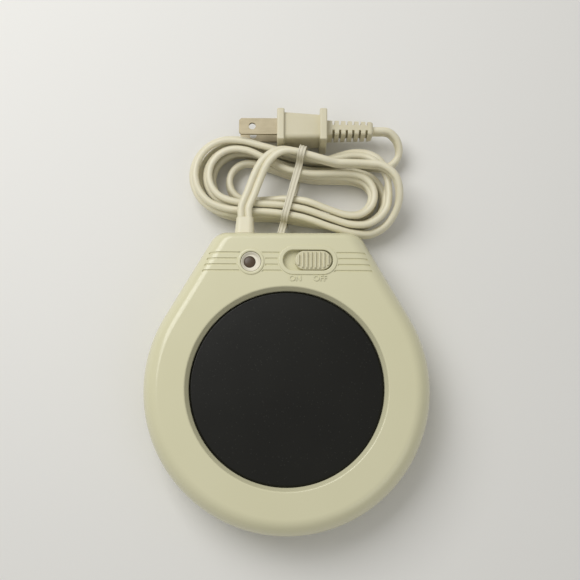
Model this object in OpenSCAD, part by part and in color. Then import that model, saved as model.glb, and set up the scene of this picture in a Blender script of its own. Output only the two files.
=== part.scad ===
// Electric candle warmer: a round heating plate in a moulded two-part housing,
// with a slide switch, a pilot light and a folded mains lead.
// Millimetres. X points right, Y to the back and Z up; the table is z = 0.

/* [Body] */
// Outer diameter of the round part of the housing
body_d = 130; // [124:1:140]
// Distance from the plate's axis to the back wall
back_reach = 72; // [70:1:80]
// Width of the body across its back corners
back_w = 74.5; // [70:0.5:78]
// Radius of the two back corners in plan
corner_r = 9; // [6:0.5:11]
// Height of the flat top above the table
body_h = 30; // [29:0.5:36]
// Wall thickness of both mouldings
wall = 2.4; // [2:0.1:2.8]
// Width of the rounded shoulder round the ring and the sides
shoulder_w = 8; // [6:0.5:9]
// Height of the rounded shoulder
shoulder_h = 12; // [9:0.5:13]
// Width of the rounded shoulder along the back edge
back_shoulder = 4.2; // [3:0.2:6]
// Draft of the upright outer wall
draft = 0.5; // [0.2:0.1:0.8]
// Height of the joint between the upper housing and the base
parting_z = 8; // [7:0.5:10]
// Height of the locating lip above the joint
lip_h = 3; // [2:0.5:4]
// How far the base's outer wall stands in from the upper housing
base_step = 1; // [0.5:0.1:1.4]

/* [Feet and screws] */
// Height of a rubber foot below the base
foot_h = 2; // [1.5:0.5:4]
// Diameter of a rubber foot
foot_d = 12; // [9:1:14]
// Distance of a foot from the plate's axis
foot_r = 46; // [40:1:50]
// Diameter of a foot's push-in stem
foot_stem_d = 4; // [3:0.5:5]
// Diameter of a housing screw boss
boss_d = 6.4; // [6:0.2:7]
// Shank diameter of a housing screw
screw_d = 2.6; // [2.2:0.1:3]
// Head diameter of a housing screw
screw_head_d = 5; // [4.4:0.2:5.4]
// Shank diameter of an inner fixing screw
small_screw_d = 2; // [1.8:0.1:2.4]
// Head diameter of an inner fixing screw
small_head_d = 4; // [3.6:0.2:4.4]

/* [Heating plate] */
// Diameter of the well's rim at the flat top
rim_d = 90; // [88:0.5:94]
// Diameter of the heating plate
plate_d = 86.2; // [82:0.2:88]
// Depth of the plate below the rim
plate_drop = 4; // [3.5:0.5:5]
// Height of the bevel inside the rim
bevel_h = 3; // [2:0.25:3.25]
// Thickness of the plate's metal
plate_t = 1.6; // [1.2:0.1:2]
// Height of the plate's skirt, from its top face
skirt_h = 5; // [4.5:0.5:6]
// Thickness of the skirt's flange
flange_t = 1.4; // [1:0.1:1.8]
// Thickness of the sealing gasket
gasket_t = 1; // [0.8:0.1:1.4]
// Width of the housing lip that the gasket seals on
lip_w = 3; // [2.5:0.25:3.5]
// Thickness of the retainer ring
retainer_t = 1.2; // [1:0.1:1.6]
// Diameter of the clamping stud under the plate
stud_d = 4; // [3:0.5:5]
// Thickness of one mica sheet
mica_t = 0.5; // [0.3:0.1:0.7]
// Width of the resistance ribbon
ribbon_w = 2; // [1.5:0.1:2.4]
// Thickness of the resistance ribbon
ribbon_t = 0.4; // [0.3:0.1:0.5]
// Number of runs of the resistance ribbon
ribbon_runs = 8; // [6:2:10]
// Thickness of the fibre insulation pad
pad_t = 3; // [2:0.25:3.5]
// Thickness of the clamp plate
clamp_t = 1.2; // [1:0.1:1.6]
// Height of the clamping nut
nut_h = 3.2; // [2.4:0.2:4]
// Diameter of the thermal fuse
fuse_d = 4; // [3:0.5:4.5]
// Length of the thermal fuse
fuse_l = 10; // [8:1:12]
// Height of the heat shield above the base floor
shield_lift = 3; // [2:0.5:4]
// Thickness of the heat shield
shield_t = 0.6; // [0.4:0.1:0.8]

/* [Pilot light] */
// Place of the pilot light across the body
pilot_x = -16.4; // [-18:0.2:-15]
// Place of the pilot light between the plate's flange and the back wall, as a share
pilot_share = 0.39; // [0.36:0.005:0.46]
// Outer diameter of the moulded collar
pilot_collar_d = 12; // [11:0.2:13]
// Outer diameter of the bezel cup
bezel_d = 9; // [8.4:0.1:9.4]
// Diameter of the lens
lens_d = 5.2; // [4:0.1:5.4]
// Offset of the lens to the left in its cup
lens_off = 0.6; // [0:0.1:0.8]
// Diameter of the neon lamp
lamp_d = 4; // [3.6:0.2:4.4]
// Length of the neon lamp
lamp_l = 9.5; // [8:0.5:10]

/* [Slide switch] */
// Place of the switch across the body
switch_x = 9.3; // [8.5:0.1:10]
// Place of the switch between the plate's flange and the back wall, as a share
switch_share = 0.425; // [0.37:0.005:0.47]
// Length of the stadium recess
recess_l = 22.6; // [21.6:0.2:24]
// Width of the stadium recess
recess_w = 9.5; // [8.5:0.1:10]
// Depth of the recess
recess_depth = 2.6; // [2.5:0.1:3]
// Width of the moulded collar round the recess
collar_w = 1.9; // [1.4:0.1:2.2]
// Height of the moulded collars above the top
collar_h = 0.5; // [0.3:0.1:0.8]
// Length of the thumb slider
slider_l = 16.4; // [15.4:0.2:17.2]
// Height of the thumb slider above the top
slider_proud = 1.2; // [0.8:0.1:2]
// Number of ribs on the thumb slider
rib_count = 8; // [5:1:9]
// Spacing of the slider's ribs
rib_pitch = 1.9; // [1.4:0.05:2]
// Gap between the slider and the recess ends at each stop
stop_gap = 0.7; // [0.5:0.1:0.9]

/* [Panel lines] */
// Number of grooves on each side of the controls
groove_count = 4; // [2:1:4]
// Spacing of the grooves
groove_pitch = 2.75; // [2.4:0.05:3]
// Width of a groove
groove_w = 0.9; // [0.6:0.1:1.2]
// Depth of a groove
groove_depth = 0.5; // [0.3:0.1:0.8]

/* [Cord] */
// Width of the flat two-core cord
cord_w = 7; // [6:0.1:7.2]
// Thickness of the flat cord
cord_t = 3.3; // [2.8:0.1:3.4]
// Place of the cord bushing across the body
bushing_x = -20; // [-21:0.1:-19.5]
// Height of the cord bushing above the table
bushing_z = 18; // [17.5:0.1:18.2]
// Length of the bushing's tapered nose outside
nose_l = 8; // [6:0.5:10]
// Diameter of an inner insulated wire
wire_d = 2; // [1.6:0.1:2.2]

/* [Hank] */
// Fold radius of the outermost loop of the hank
fold_r = 17.8; // [17:0.1:18]
// Spacing of neighbouring loops
slot_pitch = 4.1; // [4:0.05:4.2]
// Height of the hank's lower edge above the table
hank_z = 1.3; // [1.2:0.1:1.5]
// Spacing of the two layers of loops
layer_pitch = 7.6; // [7.5:0.1:7.8]
// How far the loops are drawn in at the waist
waist = 3; // [1:0.25:3.5]

/* [Plug] */
// Width of the plug body at its front
plug_w = 13.8; // [12:0.1:15]
// Height of the plug body across its blades, at its front
plug_h = 19.4; // [18:0.2:21]
// Share of the plug body's width and height left at its back
plug_taper = 0.84; // [0.78:0.02:0.96]
// Width of the finger flanges
plug_flange_w = 15.6; // [15.2:0.2:18]
// Height of the finger flanges, on which the plug stands
plug_flange_h = 22.2; // [21.4:0.2:24]
// Spacing of the two blades
blade_gap = 12.7; // [12:0.1:13]
// Length of a blade outside the plug
blade_l = 18.2; // [15.9:0.1:18.6]
// Thickness of a blade
blade_t = 1.5; // [1.2:0.1:1.6]
// Width of the neutral blade
blade_wide = 7.9; // [7.6:0.1:8.2]
// Width of the live blade
blade_narrow = 6.35; // [6:0.05:6.6]
// Diameter of the hole in each blade
blade_hole_d = 3.4; // [3:0.1:3.8]
// Length of the slotted strain relief
relief_l = 22.2; // [20:0.2:23]
// Width of the strain relief where it leaves the plug
relief_w = 7.6; // [7:0.2:9]
// Height of the strain relief where it leaves the plug
relief_h = 12.6; // [11.4:0.2:14]

/* [Fits] */
// Clearance between fixed pieces that slip together
clear = 0.3; // [0.2:0.05:0.4]
// Clearance round a moving piece
run_clear = 0.35; // [0.3:0.05:0.45]
// Radial clearance round a screw or pin
pin_clear = 0.15; // [0.1:0.05:0.25]

/* [Hidden] */
$fn = 64;

cream = [0.87, 0.84, 0.72];
pale = [0.93, 0.91, 0.84];
coating = [0.07, 0.06, 0.06];
steel = [0.72, 0.72, 0.7];
copper = [0.75, 0.5, 0.32];
fibre = [0.82, 0.8, 0.74];
dark = [0.16, 0.15, 0.15];

// Overlap that carries one moulded feature into another of the same node
merge = 0.8;

// Body: the plate's axis, so that the body is centred on the origin
plate_y = (body_d / 2 - back_reach) / 2;
back_y = plate_y + back_reach;
ceiling = body_h - wall;
floor_z = foot_h + wall;
lip_in = wall + clear + 0.2;

// Sides run straight from the ring to the rounded back corners
corner_at = [back_w / 2 - corner_r, back_reach - corner_r];
side_angle = asin((body_d / 2 - corner_r) / norm(corner_at)) - atan2(corner_at[0], corner_at[1]);
lip_wall = 2;
boss_z = parting_z + lip_h + 1;

// Heating plate and the stack that hangs below it
plate_r = plate_d / 2;
plate_z = body_h - plate_drop;
bore_r = plate_r + clear;
under_z = plate_z - plate_t;
flange_z = plate_z - skirt_h;
lip_z = flange_z + flange_t + gasket_t;
flange_r = bore_r + lip_w + 1.2;
post_gap = 0.6;
post_r = flange_r + post_gap + boss_d / 2;
pan_r = plate_r - plate_t - clear;
mica_upper_z = under_z - mica_t;
ribbon_z = mica_upper_z - ribbon_t;
mica_lower_z = ribbon_z - mica_t;
pad_z = mica_lower_z - pad_t;
clamp_z = pad_z - clamp_t;
washer_t = 0.8;
nut_z = clamp_z - nut_h;
stud_z = nut_z - 2;

// Resistance ribbon: runs side by side inside a circle
ribbon_r = pan_r - 6;
ribbon_pitch = 2 * ribbon_r / (ribbon_runs + 0.3);
tab_x = ribbon_pitch * (ribbon_runs - 1) / 2;
tab_y = sqrt(ribbon_r * ribbon_r - tab_x * tab_x) + 2;
tab_slot = [ribbon_w + 2 * clear, ribbon_t + 4 * clear];
crimp_d = ribbon_w + 2.2;
crimp_h = 4;
crimp_z = clamp_z - 0.5 - crimp_h;

// Thermal fuse in its clip, on the right under the clamp plate
fuse_x = 16;
fuse_z = clamp_z - clear - fuse_d / 2;
fuse_lead_d = 1;
fuse_lead_l = 4;
clip_t = 0.6;

// Heat shield on staked posts
shield_r = post_r - boss_d / 2 - 4;
shield_z = floor_z + shield_lift;
shield_post_r = shield_r - 8;
stake_d = 2.4;

// Screw places
plate_posts = [for (a = [45:90:315]) [post_r * cos(a), plate_y + post_r * sin(a)]];
back_boss_y = back_y - 22.5;
back_boss_x = corner_at[0] + 2.5;
housing_bosses = [[-back_boss_x, back_boss_y], [back_boss_x, back_boss_y],
    [post_r * cos(240), plate_y + post_r * sin(240)],
    [post_r * cos(300), plate_y + post_r * sin(300)]];
pillar_d = screw_head_d + 4;
screw_seat_z = foot_h + 4;
screw_l = boss_z - screw_seat_z + 8;
small_screw_l = 6;
small_head_h = 1.4;

// Strip of the body behind the plate, where the controls are
control_y = plate_y + flange_r + clear;
control_w = back_y - draft - wall - control_y;

// Pilot light
pilot_y = control_y + pilot_share * control_w;
bezel_flange_d = bezel_d + 1.2;
bezel_flange_t = 1.2;
bezel_z = ceiling - bezel_flange_t;
lens_x = pilot_x - lens_off;
lens_flange_t = 1;
lamp_z = bezel_z - lens_flange_t - clear - lamp_d / 2;
lamp_back_y = pilot_y + 2;
lamp_front_y = lamp_back_y - lamp_l;
lamp_lead_d = 0.7;

// Slide switch, from the top down
switch_y = control_y + switch_share * control_w;
recess_z = body_h - recess_depth;
block_t = 2;
block_z = recess_z - block_t;
slider_w = recess_w - 2 * run_clear;
travel = recess_l - slider_l - 2 * stop_gap;
slider_x = switch_x + travel / 2;
stem_l = 5;
stem_w = 2.6;
slot_l = stem_l + travel + 4 * run_clear;
slot_w = stem_w + 2 * run_clear;
frame_t = 1;
frame_z = block_z - frame_t;
frame_l = 35;
frame_w = 10.4;
fix_x = 14.5;
case_l = 24;
case_w = 8.6;
case_h = 8;
case_z = frame_z - case_h;
case_floor = 3;
shuttle_h = 3.6;
shuttle_z = frame_z - run_clear - shuttle_h;
shuttle_l = 12;
shuttle_w = 6;
cavity_l = shuttle_l + travel + 3;
cavity_w = shuttle_w + 2 * run_clear;
bridge_t = 0.5;
terminal_t = 0.25;
terminal_x = [-6.5, 5];
terminal_l = [5, 7];
blade_bottom_z = case_z - 5.4;

// Cord bushing and inner clamp
nose_y = back_y - draft + clear;
nose_end_y = nose_y + nose_l;
inner_end_y = back_y - 12.5;
neck_w = cord_w + 1.8;
neck_h = cord_t + 1.8;
clamp_y = back_y - 9;
clamp_x = 8;
clamp_post_d = 4.6;
clamp_bar_z = bushing_z - neck_h / 2 - pin_clear;
clamp_rib_z = bushing_z + neck_h / 2 + pin_clear;
sleeve_y = inner_end_y + 0.2;
clamp_bar_t = 2.4;

// Plan outline of the body, drawn in by d round the ring and sides and by e at the back
arc_steps = 44;
corner_steps = 8;
function outline(d, e) =
    let (r = body_d / 2 - d,
         a = side_angle,
         rc = max(corner_r - 0.6 * d, 1),
         cy = back_reach - e - rc,
         cx = (r - rc - sin(a) * cy) / cos(a))
    concat(
        [for (i = [0:arc_steps]) let (t = 180 - a + (180 + 2 * a) * i / arc_steps)
            [r * cos(t), plate_y + r * sin(t)]],
        [for (i = [0:corner_steps]) let (t = a + (90 - a) * i / corner_steps)
            [cx + rc * cos(t), plate_y + cy + rc * sin(t)]],
        [for (i = [0:corner_steps]) let (t = 90 + (90 - a) * i / corner_steps)
            [-cx + rc * cos(t), plate_y + cy + rc * sin(t)]]);

// Solid through a list of levels, each [inset, back inset, height]
module loft(levels) {
    rings = [for (v = levels) [for (p = outline(v[0], v[1])) [p[0], p[1], v[2]]]];
    skin(rings);
}

// Closed solid through rings of equal length, with triangle sides and flat ends
module skin(rings) {
    n = len(rings[0]);
    m = len(rings);
    points = [for (r = rings) for (p = r) p];
    sides = [for (k = [0:m - 2]) for (i = [0:n - 1])
        let (a = k * n + i, b = k * n + (i + 1) % n)
        each [[a, a + n, b + n], [a, b + n, b]]];
    first = [for (i = [0:n - 1]) i];
    last = [for (i = [n - 1:-1:0]) (m - 1) * n + i];
    polyhedron(points = points, faces = concat([first], sides, [last]), convexity = 10);
}

// Rounded rectangle or stadium outline about the origin
function rounded(l, w, r, steps = 6) =
    [for (c = [[1, 1, 0], [-1, 1, 90], [-1, -1, 180], [1, -1, 270]])
        for (i = [0:steps])
            let (t = c[2] + 90 * i / steps)
            [c[0] * (l / 2 - r) + r * cos(t), c[1] * (w / 2 - r) + r * sin(t)]];
function stadium(l, w) =
    let (r = w / 2, steps = 16)
    concat([for (i = [0:steps]) let (t = -90 + 180 * i / steps) [l / 2 - r + r * cos(t), r * sin(t)]],
        [for (i = [0:steps]) let (t = 90 + 180 * i / steps) [r - l / 2 + r * cos(t), r * sin(t)]]);

// Upright piece of a plan outline between two heights
module slab(shape, z0, z1) {
    translate([0, 0, z0])
        linear_extrude(height = z1 - z0)
            polygon(shape);
}

// Piece of an outline in X and Z that runs along Y
module along_y(shape, y0, y1) {
    translate([0, y1, 0])
        rotate([90, 0, 0])
            linear_extrude(height = y1 - y0)
                polygon(shape);
}

// Piece of an outline in Y and Z that runs along X
module along_x(shape, x0, x1) {
    translate([x0, 0, 0])
        rotate([90, 0, 90])
            linear_extrude(height = x1 - x0)
                polygon(shape);
}

module peg(d, z0, z1) {
    translate([0, 0, z0])
        cylinder(d = d, h = z1 - z0);
}

module box(x0, x1, y0, y1, z0, z1) {
    translate([x0, y0, z0])
        cube([x1 - x0, y1 - y0, z1 - z0]);
}

module at_plate() {
    translate([0, plate_y, 0])
        children();
}

module at_each(places) {
    for (p = places)
        translate([p[0], p[1], 0])
            children();
}

module washer_ring(r0, r1, z0, z1) {
    difference() {
        peg(2 * r1, z0, z1);
        peg(2 * r0, z0 - 1, z1 + 1);
    }
}

// Pan-head screw that points up, with its head's top face at z
module screw(d, l, head_d, head_h, z) {
    difference() {
        union() {
            peg(d, z - merge, z + l);
            peg(head_d, z - head_h, z);
        }
        for (a = [0, 90])
            rotate([0, 0, a])
                box(-head_d * 0.32, head_d * 0.32, -0.3, 0.3, z - head_h - 1, z - head_h * 0.5);
    }
}

// Swept tubes: direction at each point, and sections set across it
function unit(v) = v / norm(v);
function heading(p, i) = unit(p[min(i + 1, len(p) - 1)] - p[max(i - 1, 0)]);
function across(t, n) = unit(n - (n * t) * t);

// Smooth curve through the inner points of a route, with straight first and last pieces
function route(p, steps) =
    let (n = len(p), q = [for (i = [1:n - 2]) p[i]], m = len(q))
    concat([p[0]],
        [for (i = [0:m - 2]) for (j = [0:steps - 1])
            let (a = q[max(i - 1, 0)] + (i == 0 ? p[0] - q[0] : [0, 0, 0]),
                 d = i == m - 2 ? p[n - 1] : q[i + 2],
                 b = q[i], c = q[i + 1], t = j / steps)
            0.5 * (2 * b + (c - a) * t + (2 * a - 5 * b + 4 * c - d) * t * t
                + (3 * b - a - 3 * c + d) * t * t * t)],
        [q[m - 1], p[n - 1]]);

// Point part of the way between two ends, moved aside
function bend(a, b, t, aside) = a + (b - a) * t + aside;

// Round wire along points, eight-sided
module wire(p, d) {
    n0 = across(heading(p, 0), [0.3, 0.5, 0.8]);
    normals = [for (i = 0, n = n0; i < len(p);
        i = i + 1, n = i < len(p) ? across(heading(p, i), n) : n) n];
    skin([for (i = [0:len(p) - 1])
        let (a = normals[i], b = cross(heading(p, i), a))
        [for (k = [0:7]) p[i] + d / 2 * (a * cos(45 * k) + b * sin(45 * k))]]);
}

// Ribbon or flat cord along points; the section's first axis is level at roll 0 and upright at 90
module ribbon(p, section, rolls) {
    skin([for (i = [0:len(p) - 1])
        let (t = heading(p, i), s = unit(cross(t, [0, 0, 1])), u = cross(s, t), r = rolls[i],
             a = s * cos(r) + u * sin(r), b = u * cos(r) - s * sin(r))
        [for (c = section) p[i] + a * c[0] + b * c[1]]]);
}

// Moulded upper shell: ring, tapered control end, well lip, screw posts and panel details
module upper_housing() {
    sh_in = shoulder_w - 1.4;
    foot_in = body_h - shoulder_h - 1;
    inside = [for (i = [5:-1:0]) let (t = 18 * i)
        [draft + wall + sh_in * (1 - cos(t)),
         draft + wall + (back_shoulder - 1) * (1 - cos(t)),
         foot_in + (ceiling - foot_in) * sin(t)]];
    outside = [for (i = [0:7]) let (t = 90 * i / 7)
        [draft + shoulder_w * (1 - cos(t)),
         draft + back_shoulder * (1 - cos(t)),
         body_h - shoulder_h + shoulder_h * sin(t)]];
    color(cream)
        difference() {
            union() {
                loft(concat(inside, [[wall, wall, parting_z], [0, 0, parting_z]], outside));
                at_plate()
                    peg(2 * (bore_r + lip_w), lip_z, ceiling + merge);
                at_each(plate_posts)
                    peg(boss_d, flange_z, ceiling + merge);
                at_each(housing_bosses)
                    peg(boss_d, boss_z, ceiling + merge);
                at_each([[bushing_x - clamp_x, clamp_y], [bushing_x + clamp_x, clamp_y]])
                    peg(clamp_post_d, clamp_bar_z, ceiling + merge);
                box(bushing_x - 3, bushing_x + 3, clamp_y - 0.2, clamp_y + 1.4,
                    clamp_rib_z, ceiling + merge);
                translate([switch_x, switch_y, 0])
                    box(-frame_l / 2, frame_l / 2, -frame_w / 2, frame_w / 2, block_z, ceiling + merge);
                translate([pilot_x, pilot_y, 0])
                    peg(pilot_collar_d, body_h - merge, body_h + collar_h);
                translate([switch_x, switch_y, 0])
                    slab(stadium(recess_l + 2 * collar_w, recess_w + 2 * collar_w),
                        body_h - merge, body_h + collar_h);
            }
            well_cut();
            translate([pilot_x, pilot_y, 0])
                peg(bezel_d + 2 * pin_clear, ceiling - 1, body_h + collar_h + 1);
            translate([switch_x, switch_y, 0]) {
                slab(stadium(recess_l, recess_w), recess_z, body_h + collar_h + 1);
                box(-slot_l / 2, slot_l / 2, -slot_w / 2, slot_w / 2, block_z - 1, recess_z + 1);
                at_each([[-fix_x, 0], [fix_x, 0]])
                    peg(small_screw_d + 2 * pin_clear, block_z - 1, body_h - 1);
            }
            at_each(plate_posts)
                peg(small_screw_d + 2 * pin_clear, flange_z - 1, ceiling - 0.6);
            at_each(housing_bosses)
                peg(screw_d + 2 * pin_clear, boss_z - 1, screw_seat_z + screw_l + 1);
            at_each([[bushing_x - clamp_x, clamp_y], [bushing_x + clamp_x, clamp_y]])
                peg(small_screw_d + 2 * pin_clear, clamp_bar_z - 1, ceiling - 2);
            translate([bushing_x, 0, bushing_z])
                along_y(stadium(neck_w + 2 * clear, neck_h + 2 * clear), back_y - 8, back_y + 2);
            panel_grooves();
        }
}

// Well: straight bore round the plate with a bevel up to the rim
module well_cut() {
    slope = (rim_d / 2 - bore_r) / bevel_h;
    at_plate()
        rotate_extrude()
            polygon([[0, lip_z - 1], [bore_r, lip_z - 1], [bore_r, body_h - bevel_h],
                [rim_d / 2 + slope, body_h + 1], [0, body_h + 1]]);
}

// Sunk lines on both sides of the controls, with ends parallel to the body's sides
module panel_grooves() {
    side_in = shoulder_w + draft - 2.6;
    edge_gap = 0.6;
    pilot_r = pilot_collar_d / 2 + edge_gap;
    end_r = recess_w / 2 + collar_w + edge_gap;
    end_x = recess_l / 2 - recess_w / 2;
    for (i = [0:groove_count - 1]) {
        y = pilot_y + (i - (groove_count - 1) / 2) * groove_pitch;
        y0 = y - groove_w / 2;
        y1 = y + groove_w / 2;
        pilot_reach = sqrt(pilot_r * pilot_r - pow(y - pilot_y, 2));
        end_reach = end_x + sqrt(end_r * end_r - pow(y - switch_y, 2));
        groove([[-side_at(y0, side_in), y0], [pilot_x - pilot_reach, y0],
            [pilot_x - pilot_reach, y1], [-side_at(y1, side_in), y1]]);
        groove([[pilot_x + pilot_reach, y0], [switch_x - end_reach, y0],
            [switch_x - end_reach, y1], [pilot_x + pilot_reach, y1]]);
        groove([[switch_x + end_reach, y0], [side_at(y0, side_in), y0],
            [side_at(y1, side_in), y1], [switch_x + end_reach, y1]]);
    }
}

// Half width of the body at y, drawn in by d
function side_at(y, d) = (body_d / 2 - d - sin(side_angle) * (y - plate_y)) / cos(side_angle);

module groove(shape) {
    slab(shape, body_h - groove_depth, body_h + 1);
}

// Base moulding: floor, wall with a locating lip, screw pillars and shield posts
module base_cover() {
    color(cream)
        difference() {
            union() {
                loft([[base_step + 2, base_step + 2, foot_h],
                    [base_step, base_step, foot_h + 2],
                    [base_step, base_step, parting_z],
                    [lip_in, lip_in, parting_z],
                    [lip_in, lip_in, parting_z + lip_h],
                    [lip_in + lip_wall, lip_in + lip_wall, parting_z + lip_h],
                    [lip_in + lip_wall, lip_in + lip_wall, floor_z]]);
                at_each(housing_bosses)
                    peg(pillar_d, floor_z - merge, boss_z);
                at_plate()
                    for (a = [90:120:330])
                        rotate([0, 0, a])
                            translate([shield_post_r, 0, 0]) {
                                peg(stake_d + 3.6, floor_z - merge, shield_z);
                                peg(stake_d, shield_z - merge, shield_z + shield_t + merge);
                                peg(stake_d + 1.6, shield_z + shield_t, shield_z + shield_t + merge);
                            }
            }
            at_each(housing_bosses) {
                peg(screw_head_d + 4 * pin_clear, foot_h - 1, screw_seat_z);
                peg(screw_d + 2 * pin_clear, foot_h, boss_z + 1);
            }
            at_feet()
                peg(foot_stem_d + 2 * pin_clear, foot_h - 1, floor_z + 1);
        }
}

module at_feet() {
    at_plate()
        for (a = [45:90:315])
            rotate([0, 0, a])
                translate([foot_r, 0, 0])
                    children();
}

module rubber_feet() {
    color(dark)
        at_feet() {
            rotate_extrude()
                polygon([[0, 0], [foot_d / 2 - 0.5, 0], [foot_d / 2, 0.5], [foot_d / 2, foot_h],
                    [foot_stem_d / 2, foot_h], [foot_stem_d / 2, floor_z], [0, floor_z]]);
        }
}

module housing_screws() {
    color(steel)
        at_each(housing_bosses)
            screw(screw_d, screw_l, screw_head_d, 2, screw_seat_z);
}

// Pressed plate: flat top, skirt, sealing flange and a welded clamping stud
module heating_plate() {
    edge = 0.4;
    color(coating)
        at_plate()
            rotate_extrude($fn = 96)
                polygon([[0, plate_z], [plate_r - edge, plate_z], [plate_r, plate_z - edge],
                    [plate_r, flange_z + flange_t], [flange_r, flange_z + flange_t],
                    [flange_r, flange_z], [plate_r - plate_t, flange_z],
                    [plate_r - plate_t, under_z], [stud_d / 2, under_z],
                    [stud_d / 2, stud_z], [0, stud_z]]);
}

module plate_gasket() {
    color([0.75, 0.35, 0.25])
        at_plate()
            washer_ring(bore_r, bore_r + lip_w, flange_z + flange_t, lip_z);
}

// Flat ring with four ears that holds the plate's flange up against the gasket
module retainer_ring() {
    color(steel)
        difference() {
            union() {
                at_plate()
                    washer_ring(plate_r + clear, flange_r, flange_z - retainer_t, flange_z);
                at_plate()
                    for (a = [45:90:315])
                        rotate([0, 0, a])
                            box(flange_r - 2, post_r, -boss_d * 0.4, boss_d * 0.4,
                                flange_z - retainer_t, flange_z);
                at_each(plate_posts)
                    peg(boss_d, flange_z - retainer_t, flange_z);
            }
            at_each(plate_posts)
                peg(small_screw_d + 2 * pin_clear, flange_z - retainer_t - 1, flange_z + 1);
        }
}

module retainer_screws() {
    color(steel)
        at_each(plate_posts)
            screw(small_screw_d, small_screw_l, small_head_d, small_head_h, flange_z - retainer_t);
}

// Disc of the heater stack with a hole for the stud
module stack_disc(r, z0, z1) {
    at_plate()
        washer_ring(stud_d / 2 + pin_clear, r, z0, z1);
}

module tab_slots(z0, z1) {
    at_plate()
        for (s = [-1, 1])
            translate([s * tab_x, tab_y, 0])
                box(-tab_slot[0] / 2, tab_slot[0] / 2, -tab_slot[1] / 2, tab_slot[1] / 2, z0 - 1, z1 + 1);
}

module mica_upper() {
    color([0.78, 0.72, 0.6])
        stack_disc(pan_r, mica_upper_z, under_z);
}

// Ribbon that runs up and down the mica, with both ends bent down as tabs
module heating_element() {
    last = ribbon_runs - 1;
    run_x = [for (i = [0:last]) (i - last / 2) * ribbon_pitch];
    half = [for (x = run_x) sqrt(ribbon_r * ribbon_r - x * x)];
    w = ribbon_w / 2;
    low = [for (i = [0:last]) min(half[i], half[i % 2 == 0 ? i + 1 : i - 1])];
    high = [for (i = [0:last])
        i == 0 || i == last ? tab_y : min(half[i], half[i % 2 == 0 ? i - 1 : i + 1])];
    color(copper)
        at_plate()
            union() {
                for (i = [0:last])
                    box(run_x[i] - w, run_x[i] + w, -low[i], high[i], ribbon_z, mica_upper_z);
                for (i = [0:2:last])
                    box(run_x[i] - w, run_x[i + 1] + w, -low[i] - w, -low[i] + w, ribbon_z, mica_upper_z);
                for (i = [1:2:last - 1])
                    box(run_x[i] - w, run_x[i + 1] + w, high[i] - w, high[i] + w, ribbon_z, mica_upper_z);
                for (i = [0, last])
                    box(run_x[i] - w, run_x[i] + w, tab_y - ribbon_t / 2, tab_y + ribbon_t / 2,
                        crimp_z + crimp_h / 2, mica_upper_z);
            }
}

module mica_lower() {
    color([0.78, 0.72, 0.6])
        difference() {
            stack_disc(pan_r, mica_lower_z, ribbon_z);
            tab_slots(mica_lower_z, ribbon_z);
        }
}

module insulation_pad() {
    color(fibre)
        difference() {
            stack_disc(pan_r, pad_z, mica_lower_z);
            tab_slots(pad_z, mica_lower_z);
        }
}

module clamp_plate() {
    color(steel)
        difference() {
            stack_disc(pan_r - 0.5, clamp_z, pad_z);
            tab_slots(clamp_z, pad_z);
        }
}

// Hexagon nut with its washer
module plate_nut() {
    across_flats = stud_d * 1.75;
    color(steel)
        at_plate()
            difference() {
                union() {
                    peg(across_flats + 2.6, clamp_z - washer_t, clamp_z);
                    translate([0, 0, nut_z])
                        cylinder(d = across_flats / cos(30), h = nut_h - washer_t / 2, $fn = 6);
                }
                peg(stud_d + 2 * pin_clear, nut_z - 1, clamp_z + 1);
            }
}

module heat_shield() {
    color(steel)
        at_plate()
            difference() {
                peg(2 * shield_r, shield_z, shield_z + shield_t);
                for (a = [90:120:330])
                    rotate([0, 0, a])
                        translate([shield_post_r, 0, 0])
                            peg(stake_d + 2 * pin_clear, shield_z - 1, shield_z + shield_t + 1);
            }
}

// Axial thermal cut-off with its two leads
module thermal_fuse() {
    color(pale)
        at_plate()
            translate([fuse_x, 0, fuse_z])
                rotate([90, 0, 0])
                    union() {
                        cylinder(d = fuse_d, h = fuse_l, center = true);
                        cylinder(d = fuse_lead_d, h = fuse_l + 2 * fuse_lead_l, center = true);
                    }
}

// Folded strap that holds the fuse to the clamp plate
module fuse_clip() {
    in = fuse_d / 2 + clear;
    out = in + clip_t;
    low = fuse_z - in;
    color(steel)
        at_plate()
            translate([fuse_x, 0, 0])
                along_y([[-out - 3, clamp_z], [-out - 3, clamp_z - clip_t], [-out, clamp_z - clip_t],
                    [-out, low - clip_t], [out, low - clip_t], [out, clamp_z - clip_t],
                    [out + 3, clamp_z - clip_t], [out + 3, clamp_z], [in, clamp_z], [in, low],
                    [-in, low], [-in, clamp_z]], -2.5, 2.5);
}

// Two crimps on the element's tabs and a splice where the lamp's lead joins the neutral wire
splice = [bushing_x - 4, inner_end_y - 13, bushing_z - 3];
splice_l = 5;
splice_w = 4;
module crimp_connectors() {
    color(steel) {
        at_plate()
            for (s = [-1, 1])
                translate([s * tab_x, tab_y, 0])
                    difference() {
                        peg(crimp_d, crimp_z, crimp_z + crimp_h);
                        translate([0, 0, crimp_z + crimp_h])
                            cube([ribbon_w + clear, ribbon_t + clear, crimp_h + clear], center = true);
                    }
        translate(splice)
            box(-splice_w / 2, splice_w / 2, -splice_l / 2, splice_l / 2, -splice_w / 2, splice_w / 2);
    }
}

// Pale cup of the pilot light, pushed in from below
module pilot_bezel() {
    dish_r = bezel_d / 2 - 0.4;
    dish_depth = 1.5;
    color(pale)
        translate([pilot_x, pilot_y, 0])
            difference() {
                union() {
                    peg(bezel_d, bezel_z, body_h);
                    peg(bezel_flange_d, bezel_z, ceiling);
                }
                translate([0, 0, body_h - dish_depth])
                    cylinder(r1 = dish_r - 0.6, r2 = dish_r + 0.2, h = dish_depth * 4 / 3);
                translate([-lens_off, 0, 0])
                    peg(lens_d + 2 * pin_clear, bezel_z - 1, body_h);
            }
}

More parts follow.
